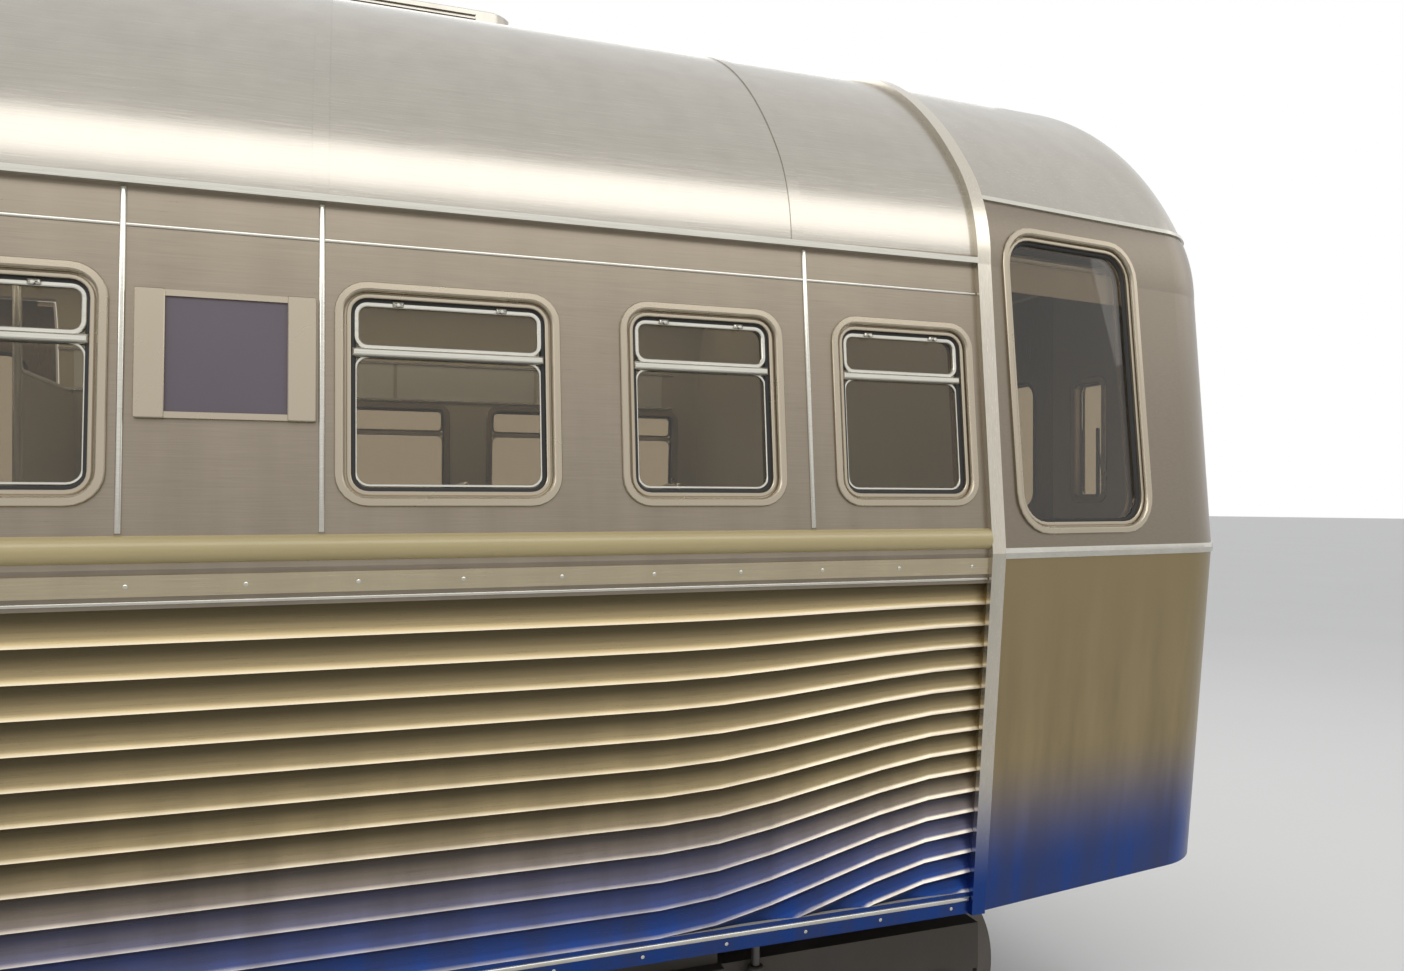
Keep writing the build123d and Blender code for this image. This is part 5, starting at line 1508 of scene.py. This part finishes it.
class CAR_OT_bogies(bpy.types.Operator):
    """Coil springs, axlebox covers, dampers and brake shoes of the bogies"""

    bl_idname = "car.bogies"
    bl_label = "Bogies"

    def execute(self, context):
        spring, shelf, gusset = coil(*SPRING), plate(*SHELF), plate(*GUSSET)
        damper, piston, shoe = rod(*DAMPER), rod(*PISTON), self.shoe_block()
        for end_name, sign in ENDS:
            shape = bmesh.new()
            middle = sign * BOGIE_X
            for _, side in SIDES:
                for z in (SHELF_Z - SHELF_DEPTH, SEAT_Z):
                    stamp(shape, shelf, level_frame(middle, side * SPRING_Y, z))
                for u in SPRING_XS:
                    stamp(shape, spring, moved(middle + u, side * SPRING_Y, SHELF_Z), 1)
                for u in (-GUSSET_X, GUSSET_X):
                    stamp(shape, gusset, side_frame(middle + u, BEAM_FACE, SHELF_Z - GUSSET_DROP, side))
                for out in (1, -1):
                    axle_x = middle + out * HALF_WHEELBASE
                    self.axle_cover(shape, side_frame(axle_x, BEAM_FACE, AXLE_Z, side))
                    place = side_frame(middle + out * DAMPER_X, DAMPER_Y, DAMPER_Z, side)
                    stamp(shape, damper, place)
                    stamp(shape, piston, place, 1)
                    # The shoe hangs on the side of the wheel nearer to the bogie's middle
                    turn = Matrix.Rotation(math.pi if out > 0 else 0.0, 4, "Y")
                    stamp(shape, shoe, moved(axle_x, side * SHOE_Y, AXLE_Z) @ turn)
                    low, high = ((axle_x - out * x, side * y, z) for x, y, z in SHOE_HANGER)
                    stamp_once(shape, rod(low, high, SHOE_HANGER_RADIUS))
            finish_piece(f"bogie_fittings_{end_name}", shape, f"bogie_{end_name}",
                         "cast steel", "spring steel")
        return {"FINISHED"}

    def axle_cover(self, shape, place):
        """A bolted cover on the end of an axlebox."""
        stamp_once(shape, disc(*AXLE_COVER), place)
        bolt = disc(*AXLE_BOLT)
        for number in range(AXLE_BOLTS):
            angle = 2 * math.pi * number / AXLE_BOLTS
            stamp(shape, bolt, place @ moved(AXLE_BOLT_REACH * math.cos(angle),
                                             AXLE_BOLT_REACH * math.sin(angle), AXLE_BOLT_STAND))
        bolt.free()

    def shoe_block(self):
        """A brake shoe that follows the tread, made by a spin about the axle."""
        shape = outline(*SHOE_OUTLINE)
        stand = moved(WHEEL_RADIUS + SHOE_STAND, 0, 0)
        upright = Matrix(((0, 1, 0, 0), (1, 0, 0, 0), (0, 0, -1, 0), (0, 0, 0, 1)))
        first = Matrix.Rotation(math.radians(-SHOE_ANGLE / 2), 4, "Y")
        bmesh.ops.transform(shape, matrix=first @ stand @ upright, verts=shape.verts[:])
        bmesh.ops.spin(shape, geom=shape.verts[:] + shape.edges[:] + shape.faces[:], cent=(0, 0, 0),
                       axis=(0, 1, 0), angle=math.radians(SHOE_ANGLE), steps=SHOE_STEPS)
        bmesh.ops.recalc_face_normals(shape, faces=shape.faces[:])
        return shape


# Inside the car. The blinds of the tall windows in the end bays
BLIND_Z, BLIND = 2.700, (BAY_WIDTH - 0.060, 0.094, 0.010, ((0.0, 0.004), (0.0012, 0.001)))
ROLLER = ((-0.255, 0.062, 0.024), (0.255, 0.062, 0.024), 0.022)
# Rails on hangers under the ceiling, and ribs across the light covers
CEILING_RAIL_X, CEILING_RAIL_Y, CEILING_RAIL_DROP, CEILING_RAIL_RADIUS = 5.850, 0.440, 0.150, 0.015
RAIL_HANGER = ((0.0, 0.0, 0.0), (0.0, 0.0, CEILING_RAIL_DROP), 0.010)
HANGER_FLANGE = (0.030, ((0.0, 0.004), (0.004, 0.002)), 16)
HANGER_REACH, HANGER_PITCH = 5.700, 1.300
LIGHT_RIB = (0.010, 0.136, 0.002, ((0.0, 0.0405), (0.003, 0.003)))
LIGHT_RIB_Y, LIGHT_RIB_REACH, LIGHT_RIB_PITCH = 0.780, 5.938, 0.990
# Blank cards above the windows, between two lips
CARD_REACH, CARD_MARGIN, CARD_PITCH, CARD_GAP = 5.950, 0.050, 0.750, 0.016
CARD_Z, CARD_HEIGHT, CARD_CORNER, CARD = 2.615, 0.180, 0.004, ((0.0, 0.002), (0.0012, 0.001))
CARD_LIP_ZS, CARD_LIP_HEIGHT, CARD_LIP = (2.522, 2.700), 0.012, ((0.0, 0.006), (0.003, 0.004))
# Grips on the seat backs, and caps on the screens
SEAT_XS = (-5.7, -5.0, -4.3, -3.6, -1.32, -0.66, 0.0, 0.66, 1.32, 3.6, 4.3, 5.0, 5.7)
GRIP, GRIP_BEHIND, GRIP_Y, GRIP_Z = (0.200, 0.050, 0.010), 0.346, 0.560, 2.013
SCREEN_XS = (-3.1425, -1.7575, 1.7575, 3.1425)
SCREEN_CAP_YS, SCREEN_CAP_Z, SCREEN_CAP_RADIUS = (0.562, 1.285), 2.500, 0.016


class CAR_OT_interior(bpy.types.Operator):
    """Ceiling rails, blank card strips, light trims and seat handles"""

    bl_idname = "car.interior"
    bl_label = "Interior"

    def execute(self, context):
        bright, cards = bmesh.new(), bmesh.new()
        blind, roller, grip = plate(*BLIND), rod(*ROLLER), rail(*GRIP)
        for _, side in SIDES:
            for x in (BAY_X, -BAY_X):
                place = wall_frame(x, BLIND_Z, side, -WALL) @ FLIP
                stamp(cards, blind, place, 1)
                stamp(bright, roller, place)
            self.under_ceiling(bright, side)
            for low, high in STRETCHES:
                self.card_strip(bright, cards, max(low, -CARD_REACH), min(high, CARD_REACH), side)
            for x in SEAT_XS:
                stamp(bright, grip, face_frame((x - GRIP_BEHIND, side * GRIP_Y, GRIP_Z),
                                               (0.0, 1.0, 0.0), (-1.0, 0.0, 0.0)))
            for x in SCREEN_XS:
                inner, outer = ((x, side * y, SCREEN_CAP_Z) for y in SCREEN_CAP_YS)
                stamp_once(bright, rod(inner, outer, SCREEN_CAP_RADIUS))
        finish_piece("cabin_rails", bright, "carbody", "pole steel")
        finish_piece("blank_cards", cards, "carbody", "blank card", "pale blind")
        return {"FINISHED"}

    def under_ceiling(self, shape, side):
        """One long rail on its hangers, and the ribs of the lights beside it."""
        hanger, flange, rib = rod(*RAIL_HANGER), disc(*HANGER_FLANGE), plate(*LIGHT_RIB)
        down = Matrix.Rotation(math.radians(180.0), 4, "X")
        y, z = side * CEILING_RAIL_Y, CEILING_Z - CEILING_RAIL_DROP
        stamp_once(shape, rod((-CEILING_RAIL_X, y, z), (CEILING_RAIL_X, y, z), CEILING_RAIL_RADIUS))
        for x in spaced(-HANGER_REACH, HANGER_REACH, HANGER_PITCH):
            place = moved(x, y, CEILING_Z) @ down
            stamp(shape, hanger, place)
            stamp(shape, flange, place)
        for x in spaced(-LIGHT_RIB_REACH, LIGHT_RIB_REACH, LIGHT_RIB_PITCH):
            stamp(shape, rib, moved(x, side * LIGHT_RIB_Y, CEILING_Z) @ down)

    def card_strip(self, lips, cards, low, high, side):
        """A row of blank cards between two lips, on the inside of a side."""
        places = spaced(low + CARD_MARGIN, high - CARD_MARGIN, CARD_PITCH)
        for start, end in zip(places, places[1:]):
            place = wall_frame((start + end) / 2, CARD_Z, side, -WALL) @ FLIP
            stamp_once(cards, plate(end - start - CARD_GAP, CARD_HEIGHT, CARD_CORNER, CARD), place)
        for z in CARD_LIP_ZS:
            place = wall_frame((low + high) / 2, z, side, -WALL) @ FLIP
            stamp_once(lips, plate(high - low, CARD_LIP_HEIGHT, 0.0, CARD_LIP), place)


FLOOR_SIZE, FLOOR_TONES, FLOOR_ROUGHNESS = 150.0, ((0.70, 0.69, 0.67), (0.74, 0.73, 0.71)), 0.8
SKY_COLOUR, WHITE = (0.95, 0.97, 1.00, 1.0), (1.0, 1.0, 1.0, 1.0)
# Rows: name, place, point it faces, width, height, power in units of the key light
LIGHTS = (
    ("key", (0.0, -5.6, 6.4), (0.0, -1.2, 2.2), 22.0, 2.6, 1.0),
    ("back", (0.0, 5.6, 6.4), (0.0, 1.2, 2.2), 22.0, 2.6, 0.8),
    ("front", (15.0, -3.0, 6.5), (7.0, 0.0, 2.0), 6.0, 4.0, 0.16),
    ("rear", (-15.0, 3.0, 6.5), (-7.0, 0.0, 2.0), 6.0, 4.0, 0.16),
)


class CAR_OT_stage(bpy.types.Operator):
    """Floor, lights, world and camera"""

    bl_idname = "car.stage"
    bl_label = "Stage"

    def execute(self, context):
        scene = context.scene
        scene.view_settings.view_transform = "Standard"
        self.floor()
        self.world(scene)
        self.lights(scene)
        self.camera(scene)
        return {"FINISHED"}

    def floor(self):
        """A wide pale floor."""
        shape = bmesh.new()
        bmesh.ops.create_grid(shape, x_segments=1, y_segments=1, size=FLOOR_SIZE)
        floor = new_object("studio_floor", shape)
        floor_finish, tree, shader = blank_material("pale floor")
        surface = place_group(tree, speckle_group(), Patch_scale=0.4, Pore_scale=30.0, Depth=0.02)
        tone = blend_colour(tree, surface.outputs["Patches"], *FLOOR_TONES)
        tree.links.new(tone, shader.inputs["Base Color"])
        shader.inputs["Roughness"].default_value = FLOOR_ROUGHNESS
        floor.data.materials.append(floor_finish)

    def world(self, scene):
        """Soft light from all round, which the camera, metal and glass see as white."""
        world = bpy.data.worlds.new("soft studio")
        world.use_nodes = True
        tree = world.node_tree
        light = tree.nodes["Background"]
        light.inputs["Color"].default_value = SKY_COLOUR
        light.inputs["Strength"].default_value = stage_settings().sky_strength
        white = shader_node(tree, "Background")
        white.inputs["Color"].default_value = WHITE
        white.inputs["Strength"].default_value = 1.0
        path = shader_node(tree, "LightPath")
        seen = shader_node(tree, "Math", operation="MAXIMUM")
        through = shader_node(tree, "Math", operation="MAXIMUM")
        mix = shader_node(tree, "MixShader")
        tree.links.new(path.outputs["Is Camera Ray"], seen.inputs[0])
        tree.links.new(path.outputs["Is Glossy Ray"], seen.inputs[1])
        tree.links.new(seen.outputs["Value"], through.inputs[0])
        tree.links.new(path.outputs["Is Transmission Ray"], through.inputs[1])
        tree.links.new(through.outputs["Value"], mix.inputs["Fac"])
        tree.links.new(light.outputs["Background"], mix.inputs[1])
        tree.links.new(white.outputs["Background"], mix.inputs[2])
        tree.links.new(mix.outputs["Shader"], tree.nodes["World Output"].inputs["Surface"])
        scene.world = world

    def lights(self, scene):
        """Long soft panels above and beside the car."""
        for name, place, target, width, height, share in LIGHTS:
            light = bpy.data.lights.new(name, "AREA")
            light.shape = "RECTANGLE"
            light.size, light.size_y = width, height
            light.energy = stage_settings().key_power * share
            lamp = bpy.data.objects.new(name, light)
            lamp.location = place
            aim = Vector(target) - Vector(place)
            lamp.rotation_euler = aim.to_track_quat("-Z", "Y").to_euler()
            scene.collection.objects.link(lamp)

    def camera(self, scene):
        """The photograph's viewpoint, level and turned towards the front end."""
        settings = stage_settings()
        camera = bpy.data.cameras.new("photo view")
        camera.sensor_width = 36.0
        camera.lens = settings.lens
        camera.shift_y = settings.horizon_shift
        camera.clip_end = 200.0
        holder = bpy.data.objects.new("photo view", camera)
        holder.location = settings.camera_place
        holder.rotation_euler = (math.radians(90.0), 0.0, -settings.camera_turn)
        scene.collection.objects.link(holder)
        scene.camera = holder


class CAR_PT_panel(bpy.types.Panel):
    """Lists the car's operators and sizes"""

    bl_label = "Metro Car"
    bl_idname = "CAR_PT_panel"
    bl_space_type = "VIEW_3D"
    bl_region_type = "UI"
    bl_category = "Metro Car"

    def draw(self, context):
        for operator in OPERATORS:
            self.layout.operator(operator.bl_idname)
        scene = context.scene
        for settings in (scene.car_finish, scene.car_trim, scene.car_stage):
            for name in settings.__annotations__:
                self.layout.prop(settings, name)


OPERATORS = (
    CAR_OT_finishes,
    CAR_OT_frame_finishes,
    CAR_OT_windows,
    CAR_OT_side_mouldings,
    CAR_OT_doors,
    CAR_OT_ends,
    CAR_OT_roof,
    CAR_OT_underfloor,
    CAR_OT_bogies,
    CAR_OT_interior,
    CAR_OT_stage,
)
CLASSES = (CarFinishSettings, CarTrimSettings, CarStageSettings) + OPERATORS + (CAR_PT_panel,)


def register():
    for cls in CLASSES:
        bpy.utils.register_class(cls)
    bpy.types.Scene.car_finish = bpy.props.PointerProperty(type=CarFinishSettings)
    bpy.types.Scene.car_trim = bpy.props.PointerProperty(type=CarTrimSettings)
    bpy.types.Scene.car_stage = bpy.props.PointerProperty(type=CarStageSettings)


def unregister():
    del bpy.types.Scene.car_stage
    del bpy.types.Scene.car_trim
    del bpy.types.Scene.car_finish
    for cls in reversed(CLASSES):
        bpy.utils.unregister_class(cls)


def main():
    register()
    for operator in OPERATORS:
        group, name = operator.bl_idname.split(".")
        getattr(getattr(bpy.ops, group), name)()


if __name__ == "__main__":
    main()
